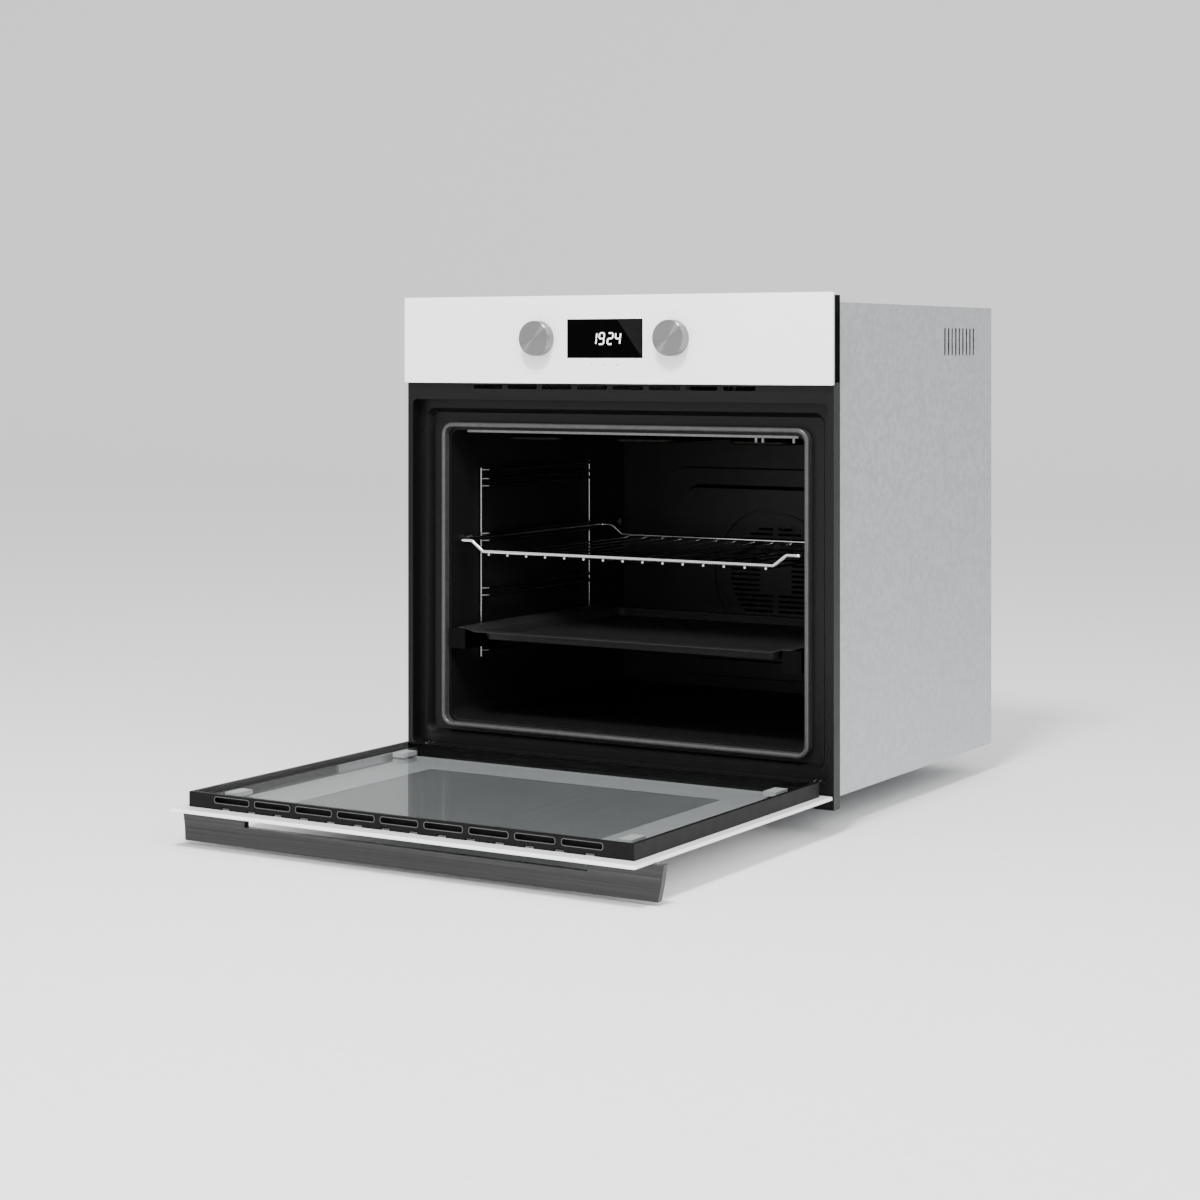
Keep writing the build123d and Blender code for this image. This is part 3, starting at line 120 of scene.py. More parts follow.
# %%
def new_material(name, **values):
    """A material with one surface shader, and the tree to add to."""
    material = bpy.data.materials.new(name)
    material.use_nodes = True
    tree = material.node_tree
    shader = tree.nodes["Principled BSDF"]
    for key, value in values.items():
        shader.inputs[key.replace("_", " ")].default_value = value
    return material, tree, shader


def pattern(tree, scale, stretch=(1.0, 1.0, 1.0), detail=3.0):
    """Noise of that many grains per metre, from 0 to 1."""
    place = add_node(tree, "ShaderNodeTexCoord")
    sizes = add_node(tree, "ShaderNodeMapping", {"Scale": stretch})
    noise = add_node(tree, "ShaderNodeTexNoise", {"Scale": scale, "Detail": detail})
    tree.links.new(place.outputs["Object"], sizes.inputs["Vector"])
    tree.links.new(sizes.outputs["Vector"], noise.inputs["Vector"])
    return noise.outputs["Fac"]


print("materials start with a surface shader")

# %%
def set_colour(tree, shader, factor, first, second):
    """The base colour runs from first to second as the pattern does."""
    ramp = add_node(tree, "ShaderNodeValToRGB")
    ramp.color_ramp.elements[0].position = 0.3
    ramp.color_ramp.elements[0].color = linear(first)
    ramp.color_ramp.elements[1].position = 0.7
    ramp.color_ramp.elements[1].color = linear(second)
    tree.links.new(factor, ramp.inputs["Fac"])
    tree.links.new(ramp.outputs["Color"], shader.inputs["Base Color"])


def set_roughness(tree, shader, factor, low, high):
    """The roughness runs from low to high as the pattern does."""
    spread = add_node(tree, "ShaderNodeMapRange", {"To Min": low, "To Max": high})
    tree.links.new(factor, spread.inputs["Value"])
    tree.links.new(spread.outputs["Result"], shader.inputs["Roughness"])


def set_relief(tree, shader, height, distance, strength=0.5):
    """The pattern also stands up from the surface, by that distance."""
    bump = add_node(tree, "ShaderNodeBump", {"Strength": strength, "Distance": distance})
    tree.links.new(height, bump.inputs["Height"])
    tree.links.new(bump.outputs["Normal"], shader.inputs["Normal"])


print("patterns can drive colour, roughness and relief")

# %% [markdown]
# ## The finishes
#
# Enamel has fine specks and a slight orange-peel surface. Brushed steel has long
# scratches, and plated wire has faint drawing marks.

# %%
def enamel(name, dark, light, low, high):
    """Glossy vitreous enamel with specks a millimetre apart."""
    material, tree, shader = new_material(name, Specular_IOR_Level=0.18)
    set_colour(tree, shader, pattern(tree, 900.0), dark, light)
    set_roughness(tree, shader, pattern(tree, 40.0), low, high)
    set_relief(tree, shader, pattern(tree, 260.0), 0.00004)
    return material


def scratched(name, dark, light, stretch, low, high, metallic=1.0):
    """Metal with scratches along the axis whose stretch is least."""
    material, tree, shader = new_material(name, Metallic=metallic)
    lines = pattern(tree, 1.0, stretch, 4.0)
    set_colour(tree, shader, lines, dark, light)
    set_roughness(tree, shader, lines, low, high)
    set_relief(tree, shader, lines, 0.00001, 0.3)
    return material


def moulded(name, dark, light, grain, low, high, shine=0.5):
    """Moulded or painted surface with an even fine grain."""
    material, tree, shader = new_material(name, Specular_IOR_Level=shine)
    set_colour(tree, shader, pattern(tree, 120.0), dark, light)
    set_roughness(tree, shader, pattern(tree, 60.0), low, high)
    set_relief(tree, shader, pattern(tree, grain), 0.00003)
    return material


black_enamel = enamel("black_enamel", "080808", "0e0e0e", 0.30, 0.42)
cavity_enamel = enamel("speckled_grey_enamel", "0c0c0c", "181818", 0.30, 0.42)
tray_enamel = enamel("tray_enamel", "181818", "232323", 0.34, 0.44)
black_paint = moulded("black_powder_paint", "050505", "0a0a0a", 1600.0, 0.42, 0.55, 0.12)
print("enamel and paint:", black_enamel.name, cavity_enamel.name, black_paint.name)

# %%
handle_steel = scratched("brushed_steel_along_x", "363636", "474747", (3.0, 900.0, 900.0), 0.26, 0.40)
wire_chrome = scratched("bright_chrome", "c4c4c4", "dadada", (400.0, 400.0, 400.0), 0.10, 0.20)
rack_chrome = scratched("satin_chrome", "6c6c6c", "868686", (400.0, 400.0, 400.0), 0.16, 0.28)
zinc = scratched("zinc_plate", "a9abad", "c2c4c6", (300.0, 300.0, 300.0), 0.25, 0.38)
rail_steel = scratched("dark_rail_steel", "0b0b0b", "161616", (500.0, 20.0, 500.0), 0.34, 0.5)
dark_steel = scratched("heat_darkened_steel", "161514", "232120", (200.0, 200.0, 200.0), 0.38, 0.55)
aluminium = scratched("mill_aluminium", "b5b6b8", "cdced0", (500.0, 500.0, 30.0), 0.3, 0.42)
soft_blocks = moulded("pale_silicone", "8a8c8c", "949696", 900.0, 0.4, 0.5)
black_plastic = moulded("black_plastic", "121212", "1a1a1a", 2200.0, 0.42, 0.55)
grey_plastic = moulded("grey_plastic", "8b8d8f", "97999b", 2200.0, 0.4, 0.55)
rubber = moulded("grey_silicone", "303030", "3a3a3a", 900.0, 0.26, 0.36)
wool = moulded("stone_wool", "8f8460", "b3a67c", 700.0, 0.9, 1.0)
ceramic = moulded("white_ceramic", "d8d5cc", "e6e3da", 1200.0, 0.45, 0.6)
board_green = moulded("circuit_board", "0c3a1c", "12502a", 500.0, 0.3, 0.45)
print("metals:", handle_steel.name, wire_chrome.name, zinc.name)

# %%
def spangled(name):
    """Galvanised sheet: grey crystals about six millimetres across."""
    material, tree, shader = new_material(name, Metallic=0.85)
    place = add_node(tree, "ShaderNodeTexCoord")
    crystals = add_node(tree, "ShaderNodeTexVoronoi", {"Scale": 160.0})
    tree.links.new(place.outputs["Object"], crystals.inputs["Vector"])
    grey = add_node(tree, "ShaderNodeRGBToBW")
    tree.links.new(crystals.outputs["Color"], grey.inputs["Color"])
    set_colour(tree, shader, grey.outputs["Val"], "a9adb0", "b4b8bb")
    set_roughness(tree, shader, grey.outputs["Val"], 0.34, 0.5)
    set_relief(tree, shader, pattern(tree, 300.0), 0.00002)
    return material


def pane(name, tint, share, rough):
    """A clear pane: light passes straight through, and more is reflected at a slant."""
    material, tree, shader = new_material(name)
    tree.nodes.remove(shader)
    clear = add_node(tree, "ShaderNodeBsdfTransparent", {"Color": linear(tint)})
    shine = add_node(tree, "ShaderNodeBsdfGlossy", {"Roughness": rough})
    slant = add_node(tree, "ShaderNodeFresnel", {"IOR": 1.45})
    spots = add_node(tree, "ShaderNodeMapRange", {"To Min": rough, "To Max": rough + 0.03})
    tree.links.new(pattern(tree, 12.0), spots.inputs["Value"])
    tree.links.new(spots.outputs["Result"], shine.inputs["Roughness"])
    weaker = add_node(tree, "ShaderNodeMath", {1: share}, operation="MULTIPLY")
    tree.links.new(slant.outputs["Fac"], weaker.inputs[0])
    mixed = add_node(tree, "ShaderNodeMixShader")
    tree.links.new(weaker.outputs["Value"], mixed.inputs[0])
    tree.links.new(clear.outputs["BSDF"], mixed.inputs[1])
    tree.links.new(shine.outputs["BSDF"], mixed.inputs[2])
    tree.links.new(mixed.outputs["Shader"], tree.nodes["Material Output"].inputs["Surface"])
    return material


def misted(name, tint, dark, light, share):
    """A film on glass: part of the light passes, and a share of it is scattered."""
    material, tree, shader = new_material(name, Roughness=0.3, Specular_IOR_Level=0.3)
    set_colour(tree, shader, pattern(tree, 8.0), dark, light)
    clear = add_node(tree, "ShaderNodeBsdfTransparent", {"Color": linear(tint)})
    mixed = add_node(tree, "ShaderNodeMixShader", {0: share})
    tree.links.new(clear.outputs["BSDF"], mixed.inputs[1])
    tree.links.new(shader.outputs["BSDF"], mixed.inputs[2])
    tree.links.new(mixed.outputs["Shader"], tree.nodes["Material Output"].inputs["Surface"])
    return material


galvanised = spangled("galvanised_sheet")
clear_pane = pane("clear_glass_pane", "f8f9f9", 0.12, 0.01)
tinted_pane = pane("tinted_glass_pane", "9c9e9e", 0.5, 0.01)
print("sheet and glass:", galvanised.name, clear_pane.name, tinted_pane.name)

# %%
def printed_glass(name, dark, light, rough):
    """Glass over an opaque print: the print's colour under a clear, even coat."""
    material, tree, shader = new_material(name, Coat_Weight=1.0, Coat_Roughness=0.02)
    set_colour(tree, shader, pattern(tree, 6.0), dark, light)
    set_roughness(tree, shader, pattern(tree, 30.0), rough, rough + 0.08)
    return material


def glowing(name, colour, strength):
    """A lit mark behind the glass, with a slight fall-off in its brightness."""
    material, tree, shader = new_material(name, Roughness=0.4)
    set_colour(tree, shader, pattern(tree, 300.0), colour, "ffffff")
    glow = add_node(tree, "ShaderNodeMapRange", {"To Min": strength * 0.85, "To Max": strength})
    tree.links.new(pattern(tree, 200.0), glow.inputs["Value"])
    tree.links.new(glow.outputs["Result"], shader.inputs["Emission Strength"])
    shader.inputs["Emission Color"].default_value = linear(colour)
    return material


white_glass = printed_glass("white_printed_glass", "f8f8f8", "fbfbfb", 0.25)
black_glass = moulded("smoked_display_glass", "010101", "020202", 20.0, 0.02, 0.06, 0.02)
print_back = moulded("grey_back_of_the_print", "969696", "9e9e9e", 300.0, 0.4, 0.5)
mark_grey = moulded("grey_print", "cccccc", "d4d4d4", 900.0, 0.4, 0.5)
digit_light = glowing("white_clock_light", "e0e6ea", 1.1)
print("printed glass:", white_glass.name, black_glass.name)

# %% [markdown]
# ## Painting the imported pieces
#
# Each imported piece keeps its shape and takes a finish.

# %%
finishes = {
    "front_frame": black_enamel,
    "cavity_muffle": cavity_enamel,
    "fan_cover": cavity_enamel,
    "baking_tray": tray_enamel,
    "door_gasket": rubber,
    "door_side_left": black_paint,
    "door_side_right": black_paint,
    "door_top_strip": black_paint,
    "door_bottom_strip": black_paint,
    "glass_spacers": soft_blocks,
    "door_inner_glass": clear_pane,
    "door_middle_glass": clear_pane,
    "door_outer_glass": white_glass,
    "control_panel_glass": white_glass,
    "display_lens": black_glass,
    "display_board": board_green,
    "panel_carrier": black_plastic,
    "function_switch": grey_plastic,
    "temperature_switch": grey_plastic,
    "function_knob": handle_steel,
    "temperature_knob": handle_steel,
    "door_handle": handle_steel,
    "handle_screws": zinc,
    "hinge_arms": zinc,
    "hinge_leaves": zinc,
    "hinge_pins": zinc,
    "wire_shelf": wire_chrome,
    "side_rack_left": rack_chrome,
    "side_rack_right": rack_chrome,
    "rack_studs": zinc,
    "roof_trim": rack_chrome,
    "grill_element": dark_steel,
    "ring_element": dark_steel,
    "bottom_element": dark_steel,
    "convection_fan_wheel": dark_steel,
    "convection_motor": zinc,
    "cooling_fan_motor": zinc,
    "cooling_fan_wheel": aluminium,
    "temperature_probe": zinc,
    "lamp_glass": clear_pane,
    "lamp_bulb": clear_pane,
    "lamp_holder": ceramic,
    "terminal_block": ceramic,
    "safety_thermostat": ceramic,
    "cable_gland": black_plastic,
    "insulation": wool,
}
for side in ("left", "right"):
    finishes[f"rail_fixed_{side}"] = rail_steel
    finishes[f"rail_middle_{side}"] = rail_steel
    finishes[f"rail_carriage_{side}"] = rail_steel
for name, piece in nodes.items():
    finish = finishes.get(name, galvanised)
    if not piece.material_slots:
        piece.data.materials.append(finish)
    for place in piece.material_slots:
        place.material = finish
print("painted", len(nodes), "pieces")

# %% [markdown]
# ## New pieces
#
# Three helpers: one makes a finished object from a mesh, one draws a thin plate
# from its outline, and one turns a profile round an axis.

# %%
def finished(name, shape, material, body, smooth=None):
    """A mesh object at the origin that rides on a body; faces point outwards."""
    bmesh.ops.recalc_face_normals(shape, faces=shape.faces)
    mesh = bpy.data.meshes.new(name)
    shape.to_mesh(mesh)
    shape.free()
    mesh.materials.append(material)
    piece = bpy.data.objects.new(name, mesh)
    bpy.context.scene.collection.objects.link(piece)
    if smooth is not None:
        for face in mesh.polygons:
            face.use_smooth = True
        mesh.set_sharp_from_angle(angle=math.radians(smooth))
    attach(piece, body)
    return piece


def prism(shape, outline, start, end):
    """A straight bar whose section is outline, in XZ, between two depths in Y."""
    near = [shape.verts.new((x, start, z)) for x, z in outline]
    far = [shape.verts.new((x, end, z)) for x, z in outline]
    shape.faces.new(near)
    shape.faces.new(list(reversed(far)))
    count = len(outline)
    for index in range(count):
        after = (index + 1) % count
        shape.faces.new((near[index], far[index], far[after], near[after]))


print("helpers ready")

# %%
def turned(shape, profile, centre, steps=96):
    """A turned shape about an axis along Y; profile is (radius, depth) pairs."""
    rings = []
    for radius, depth in profile:
        if radius < 1e-6:
            rings.append([shape.verts.new((centre[0], depth, centre[1]))])
            continue
        ring = []
        for step in range(steps):
            angle = 2.0 * math.pi * step / steps
            x = centre[0] + radius * math.cos(angle)
            z = centre[1] + radius * math.sin(angle)
            ring.append(shape.verts.new((x, depth, z)))
        rings.append(ring)
    for first, second in zip(rings, rings[1:]):
        for step in range(steps):
            after = (step + 1) % steps
            corners = [first[step % len(first)], first[after % len(first)]]
            corners += [second[after % len(second)], second[step % len(second)]]
            shape.faces.new(list(dict.fromkeys(corners)))


print("turned shapes ready")

# %% [markdown]
# ## The knobs
#
# Each knob is a turned cap with a rounded rim. Its face is brushed in rings, so
# the light on it falls in two opposite wedges, as on a record.

# %%
def ringed_steel(name, centre):
    """Steel brushed in rings round a centre, given in X and Z."""
    material, tree, shader = new_material(name, Metallic=1.0, Anisotropic=0.9, Roughness=0.3)
    place = add_node(tree, "ShaderNodeTexCoord")
    offset = add_node(tree, "ShaderNodeVectorMath", {1: (-centre[0], 0.0, -centre[1])}, operation="ADD")
    flat = add_node(tree, "ShaderNodeVectorMath", {1: (1.0, 0.0, 1.0)}, operation="MULTIPLY")
    length = add_node(tree, "ShaderNodeVectorMath", operation="LENGTH")
    rings = add_node(tree, "ShaderNodeTexNoise", {"Scale": 5000.0, "Detail": 4.0}, noise_dimensions="1D")
    tree.links.new(place.outputs["Object"], offset.inputs[0])
    tree.links.new(offset.outputs["Vector"], flat.inputs[0])
    tree.links.new(flat.outputs["Vector"], length.inputs[0])
    tree.links.new(length.outputs["Value"], rings.inputs["W"])
    set_colour(tree, shader, rings.outputs["Fac"], "787878", "969696")
    set_roughness(tree, shader, rings.outputs["Fac"], 0.24, 0.36)
    outwards = add_node(tree, "ShaderNodeVectorMath", operation="NORMALIZE")
    tree.links.new(flat.outputs["Vector"], outwards.inputs[0])
    tree.links.new(outwards.outputs["Vector"], shader.inputs["Tangent"])
    return material


print("ringed steel ready")

# %%
KNOB_GAP = 0.0006
FRONT_ROUND = 0.0016
FLAT_EDGE = 0.0030
BACK_BEVEL = 0.0008
SHAFT_RADIUS = 0.003
ROUND_STEPS = 8
for name in ("function_knob", "temperature_knob"):
    low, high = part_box(name)
    middle = ((low[0] + high[0]) / 2.0, (low[2] + high[2]) / 2.0)
    radius = (high[0] - low[0]) / 2.0
    face = low[1]
    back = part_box("control_panel_glass")[0][1] - KNOB_GAP
    profile = [(0.0, face), (radius - FLAT_EDGE, face)]
    for step in range(ROUND_STEPS + 1):
        angle = math.radians(90.0 * step / ROUND_STEPS)
        out = radius - FRONT_ROUND + FRONT_ROUND * math.sin(angle)
        profile.append((out, face + FRONT_ROUND - FRONT_ROUND * math.cos(angle)))
    profile += [(radius, back - BACK_BEVEL), (radius - BACK_BEVEL, back), (0.0, back)]
    cap = bmesh.new()
    turned(cap, profile, middle)
    shaft = [(0.0, back), (SHAFT_RADIUS, back), (SHAFT_RADIUS, high[1]), (0.0, high[1])]
    turned(cap, shaft, middle, 32)
    piece = finished(f"{name}_cap", cap, ringed_steel(f"ring_brushed_{name}", middle), name, 40.0)
    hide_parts(name)
print("knob radius", round(radius, 4))

# %% [markdown]
# ## The clock and the small prints
#
# Four slanted seven-segment digits lie on the lens's face. A thin mark stands
# over each knob, and three small marks under the clock.

# %%
HAIR = 0.00001
LIGHT_PROUD = 0.00012
low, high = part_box("display_lens")
lens_front = low[1]
CLOCK_SHIFT = 0.0018
clock_x = (low[0] + high[0]) / 2.0 + CLOCK_SHIFT
clock_z = (low[2] + high[2]) / 2.0
segments = {
    "a": ((0.0, 1.0), (1.0, 1.0)),
    "b": ((1.0, 1.0), (1.0, 0.5)),
    "c": ((1.0, 0.5), (1.0, 0.0)),
    "d": ((0.0, 0.0), (1.0, 0.0)),
    "e": ((0.0, 0.5), (0.0, 0.0)),
    "f": ((0.0, 1.0), (0.0, 0.5)),
    "g": ((0.0, 0.5), (1.0, 0.5)),
}
figures = {"1": "bc", "2": "abged", "4": "fgbc", "9": "abcdfg"}
digit_w, digit_h, stroke, lean = 0.0066, 0.0134, 0.0017, 0.12
end_gap = 0.55 * stroke
clock = bmesh.new()
for figure, shift in (("1", -0.0205), ("9", -0.0100), ("2", 0.0020), ("4", 0.0125)):
    for letter in figures[figure]:
        (x0, z0), (x1, z1) = segments[letter]
        start = Vector((x0 * digit_w, z0 * digit_h))
        end = Vector((x1 * digit_w, z1 * digit_h))
        along = (end - start).normalized()
        start += along * end_gap
        end -= along * end_gap
        aside = Vector((-along.y, along.x)) * stroke / 2.0
        tip = along * stroke * 0.45
        corners = [start - tip, start - aside, end - aside, end + tip, end + aside, start + aside]
        outline = [(clock_x + shift + p.x + lean * p.y, clock_z - digit_h / 2.0 + p.y) for p in corners]
        prism(clock, outline, lens_front - LIGHT_PROUD, lens_front - 2.0 * HAIR)
digits = finished("clock_digits", clock, digit_light, "oven")
print("clock centred on", round(clock_x, 4), round(clock_z, 4))

# %%
INK = 0.00008
TICK_HALF, TICK_LOW, TICK_HIGH = 0.0004, 0.0065, 0.0115
DOT_RADIUS, DOT_DROP, DOT_STEPS = 0.0016, 0.0080, 16
panel_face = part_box("control_panel_glass")[0][1]
marks = bmesh.new()
for name in ("function_knob", "temperature_knob"):
    low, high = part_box(name)
    x = (low[0] + high[0]) / 2.0
    outline = [(x - TICK_HALF, high[2] + TICK_LOW), (x + TICK_HALF, high[2] + TICK_LOW)]
    outline += [(x + TICK_HALF, high[2] + TICK_HIGH), (x - TICK_HALF, high[2] + TICK_HIGH)]
    prism(marks, outline, panel_face - INK, panel_face - HAIR)
dot_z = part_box("display_lens")[0][2] - DOT_DROP
for shift in (-0.020, -0.002, 0.016):
    outline = []
    for step in range(DOT_STEPS):
        angle = 2.0 * math.pi * step / DOT_STEPS
        x = clock_x + shift + DOT_RADIUS * math.cos(angle)
        outline.append((x, dot_z + DOT_RADIUS * math.sin(angle)))
    prism(marks, outline, panel_face - INK, panel_face - HAIR)
printed = finished("panel_print", marks, mark_grey, "oven")
print("prints on the panel")

# %%
# A paler corner of the lens, past a slanted line, as the light falls on it.
SHEEN_X = 0.0140
SHEEN_EDGE = 0.0012
low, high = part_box("display_lens")
left, right = SHEEN_X, high[0] - SHEEN_EDGE
bottom, top = low[2] + SHEEN_EDGE, high[2] - SHEEN_EDGE
sheen = bmesh.new()
prism(sheen, [(left, top), (right, top), (right, bottom)], lens_front - 6.0 * HAIR, lens_front - HAIR)
sheen_grey = moulded("grey_lens_sheen", "121212", "151515", 20.0, 0.05, 0.1, 0.02)
sheen_piece = finished("lens_sheen", sheen, sheen_grey, "oven")
print("lens sheen", round(high[2] - low[2], 4))

# %% [markdown]
# ## The door's outer glass
#
# The pane is white all round, printed on its inner side, with a window in the
# middle that has a thin grey film; the film's grey is painted light, in place of the
# brightness seen through the window. It is built as two pieces that meet along the print's edge.

# %%
def rounded(x0, x1, y0, y1, radius, steps=8):
    """Corner points of a rounded rectangle, anticlockwise."""
    points = []
    corners = ((x1, y1, 0.0), (x0, y1, 90.0), (x0, y0, 180.0), (x1, y0, 270.0))
    for x, y, turn in corners:
        cx = x - radius if x == x1 else x + radius
        cy = y - radius if y == y1 else y + radius
        for step in range(steps + 1):
            angle = math.radians(turn + 90.0 * step / steps)
            points.append((cx + radius * math.cos(angle), cy + radius * math.sin(angle)))
    return points


def grown(area, length, radius):
    """The rounded rectangle past area, which is left, right, front and rear, by a length."""
    left, right, front, rear = area
    return rounded(left - length, right + length, front - length, rear + length, radius)


def closed_loops(shape, loops):
    """Faces from each loop of points to the next, and from the last to the first."""
    count = len(loops[0])
    for first, second in zip(loops, loops[1:] + loops[:1]):
        for index in range(count):
            after = (index + 1) % count
            shape.faces.new((first[index], first[after], second[after], second[index]))


def frame_sheet(shape, outer, inner, bottom, top, edge=0.0):
    """A flat ring between two outlines with equal point counts.

    Its outer edge may be ground off by that length, top and bottom.
    """
    middle_y = (outer[0][1] + outer[-1][1]) / 2.0
    ground = [(x - math.copysign(edge, x), y - math.copysign(edge, y - middle_y)) for x, y in outer]
    stages = [(ground, bottom), (outer, bottom + edge), (outer, top - edge), (ground, top)]
    if not edge:
        stages = [(outer, bottom), (outer, top)]
    loops = []
    for outline, z in (*stages, (inner, top), (inner, bottom)):
        loops.append([shape.verts.new((x, y, z)) for x, y in outline])
    closed_loops(shape, loops)


print("sheets ready")

# %%
low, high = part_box("door_outer_glass")
GLASS_CORNER = 0.002
WINDOW_CORNER = 0.004
GROUND_EDGE = 0.0004
glass = (low[0], high[0], low[1], high[1])
window = (-0.198, 0.198, -0.393, -0.111)
outer = grown(glass, 0.0, GLASS_CORNER)
hole = grown(window, 0.0, WINDOW_CORNER)
border = bmesh.new()
frame_sheet(border, outer, hole, low[2], high[2], GROUND_EDGE)
rim = finished("door_glass_border", border, white_glass, "door", 30.0)
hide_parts("door_outer_glass")
print("border", len(rim.data.polygons), "faces")

# %%
# The clear window, and the film on its inner side, whose grey is painted light in place of the brightness
# seen through the window.
WINDOW_FIT = 0.00005
FILM_LIFT = 0.00004
inset = grown(window, -WINDOW_FIT, WINDOW_CORNER)
plate = bmesh.new()
lower = [plate.verts.new((x, y, low[2])) for x, y in inset]
upper = [plate.verts.new((x, y, high[2])) for x, y in inset]
plate.faces.new(upper)
plate.faces.new(list(reversed(lower)))
for index in range(len(inset)):
    after = (index + 1) % len(inset)
    plate.faces.new((lower[index], lower[after], upper[after], upper[index]))
window_pane = finished("door_window", plate, tinted_pane, "door")
film = bmesh.new()
film.faces.new([film.verts.new((x, y, high[2] + FILM_LIFT)) for x, y in inset])
# The film's diffuse grey is painted light: it stands in for the lit surroundings seen through the window.
film_painted_light = misted("window_film_painted_light", "c4c4c4", "8a8a8a", "8e8e8e", 0.6)
film_piece = finished("door_window_film_painted_light", film, film_painted_light, "door")
print("window", window)

# %%
# The print seen from inside the door, and the dark line round the window.
PRINT_THICK = 0.00012
PRINT_HALF = 0.2835
PRINT_FRONT, PRINT_REAR = 0.0215, 0.013
LINE_OUT = 0.0006
LINE_THICK = 0.00022
inside = rounded(-PRINT_HALF, PRINT_HALF, low[1] + PRINT_FRONT, high[1] - PRINT_REAR, GLASS_CORNER)
back_print = bmesh.new()
frame_sheet(back_print, inside, hole, high[2], high[2] + PRINT_THICK)
back_piece = finished("door_print_back", back_print, print_back, "door")
line = bmesh.new()
frame_sheet(line, grown(window, LINE_OUT, WINDOW_CORNER + LINE_OUT), inset, high[2], high[2] + LINE_THICK)
line_piece = finished("door_window_line", line, black_plastic, "door")
print("print and line on the inner side")

# %% [markdown]
# ## The vent slots
#
# Each slot along the top of the door has a paler grey rim, a painted highlight where the slot's edge
# catches the light.

# %%
SLOT_PITCH = 0.0563
SLOT_COUNT = 9
SLOT_HALF_LONG, SLOT_HALF_TALL, SLOT_ROUND = 0.024, 0.0032, 0.0024
SLOT_DROP = 0.0062
EDGE_WIDE, EDGE_PROUD, EDGE_SUNK = 0.0007, 0.00025, 0.00004
low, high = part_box("door_top_strip")
rims = bmesh.new()
for number in range(SLOT_COUNT):
    slot_x = (number - (SLOT_COUNT - 1) / 2.0) * SLOT_PITCH
    slot_z = high[2] - SLOT_DROP
    slot = (slot_x - SLOT_HALF_LONG, slot_x + SLOT_HALF_LONG)
    slot += (slot_z - SLOT_HALF_TALL, slot_z + SLOT_HALF_TALL)
    inner, outer = (grown(slot, wide, SLOT_ROUND + wide) for wide in (0.0, EDGE_WIDE))
    front, rear = low[1] - EDGE_PROUD, low[1] + EDGE_SUNK
    stages = ((outer, rear), (outer, front), (inner, front), (inner, rear))
    closed_loops(rims, [[rims.verts.new((x, y, z)) for x, z in outline] for outline, y in stages])
# The rim's paler grey is a painted highlight, in place of the light on each slot's edge.
slot_edge_highlight_grey = moulded("slot_edge_painted_highlight", "3e3e3e", "4e4e4e", 900.0, 0.3, 0.4)
rim_piece = finished("vent_slot_highlight_rims", rims, slot_edge_highlight_grey, "door")
print("slot rims", SLOT_COUNT)

# %% [markdown]
# ## The fixing screws
#
# Dark raised heads close the four fixing holes in the flange.

# %%
HEAD_RADIUS, HEAD_TOP, HEAD_PROUD = 0.0031, 0.0021, 0.0004
SHANK_RADIUS = 0.0020
bolts = next(mount for mount in frame["record"]["mounts"] if mount["name"] == "flange_screws")
half_x = bolts["dims"]["spacing_x_mm"] / 2000.0
half_z = bolts["dims"]["spacing_y_mm"] / 2000.0
flange_front = bolts["pos_m"][1]
heads = bmesh.new()
for side_x in (-1.0, 1.0):
    for side_z in (-1.0, 1.0):
        centre = (side_x * half_x, bolts["pos_m"][2] + side_z * half_z)
        top = flange_front - HEAD_PROUD
        profile = [(0.0, top), (HEAD_TOP, top), (HEAD_RADIUS, flange_front)]
        profile += [(SHANK_RADIUS, flange_front + 0.0001), (SHANK_RADIUS, -0.0001), (0.0, -0.0001)]
        turned(heads, profile, centre, 24)
screws = finished("fixing_screws", heads, black_paint, "oven", 40.0)
print("screws at X", round(half_x, 4))

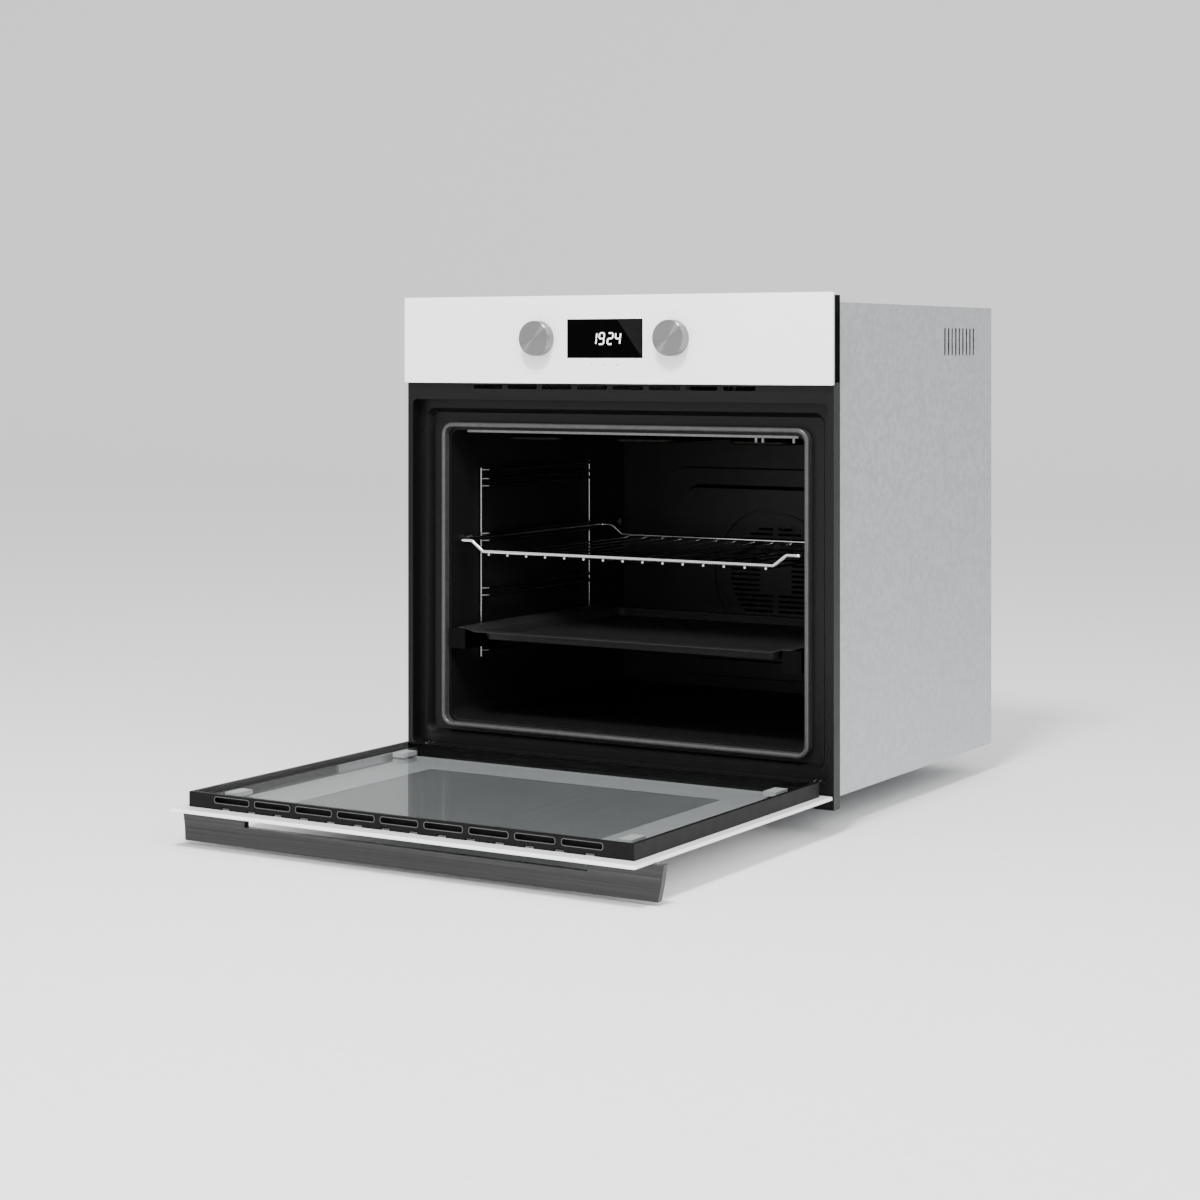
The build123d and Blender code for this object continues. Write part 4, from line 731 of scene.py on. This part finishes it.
# %% [markdown]
# ## The floor and the light
#
# The pale floor bends up into a backdrop well behind the oven. A hard key from
# above and to the right draws a streak across each knob.

# %%
floor_z = cad_box[0][2] - 0.004
bend, reach, half_wide, backdrop_top, bend_steps = 4.0, 6.0, 16.0, 12.0, 24
outline = [(-2.0 * reach, floor_z)]
for step in range(bend_steps + 1):
    angle = math.radians(90.0 * step / bend_steps)
    outline.append((reach + bend * math.sin(angle), floor_z + bend * (1.0 - math.cos(angle))))
outline.append((reach + bend, backdrop_top))
shape = bmesh.new()
edges = [[shape.verts.new((x, y, z)) for y, z in outline] for x in (-half_wide, half_wide)]
for index in range(len(outline) - 1):
    shape.faces.new((edges[0][index], edges[1][index], edges[1][index + 1], edges[0][index + 1]))
floor_mesh = bpy.data.meshes.new("floor")
shape.to_mesh(floor_mesh)
shape.free()
for face in floor_mesh.polygons:
    face.use_smooth = True
floor = bpy.data.objects.new("floor", floor_mesh)
bpy.context.scene.collection.objects.link(floor)
floor_mesh.materials.append(moulded("pale_floor", "e4e4e4", "e9e9e9", 500.0, 0.6, 0.75, 0.2))
print("floor at", round(floor_z, 4))

# %%
def soft_light(name, place, target, size, power):
    """A square soft box that faces its target."""
    data = bpy.data.lights.new(name, "AREA")
    data.size = size
    data.energy = power
    light = bpy.data.objects.new(name, data)
    light.location = place
    aim = Vector(target) - Vector(place)
    light.rotation_euler = aim.to_track_quat("-Z", "Y").to_euler()
    bpy.context.scene.collection.objects.link(light)
    return light


soft_light("key", (0.5, -1.7, 2.7), (0.0, -0.1, 0.3), 0.6, 150.0)
soft_light("fill", (2.6, -1.2, 2.2), (0.0, -0.2, 0.2), 2.0, 50.0)
soft_light("low", (0.9, -2.8, 0.3), (0.0, -0.3, 0.1), 1.0, 16.0)
world = bpy.data.worlds.new("studio")
world.use_nodes = True
world.node_tree.nodes["Background"].inputs["Color"].default_value = linear("f2f2f2")
world.node_tree.nodes["Background"].inputs["Strength"].default_value = 1.6
bpy.context.scene.world = world
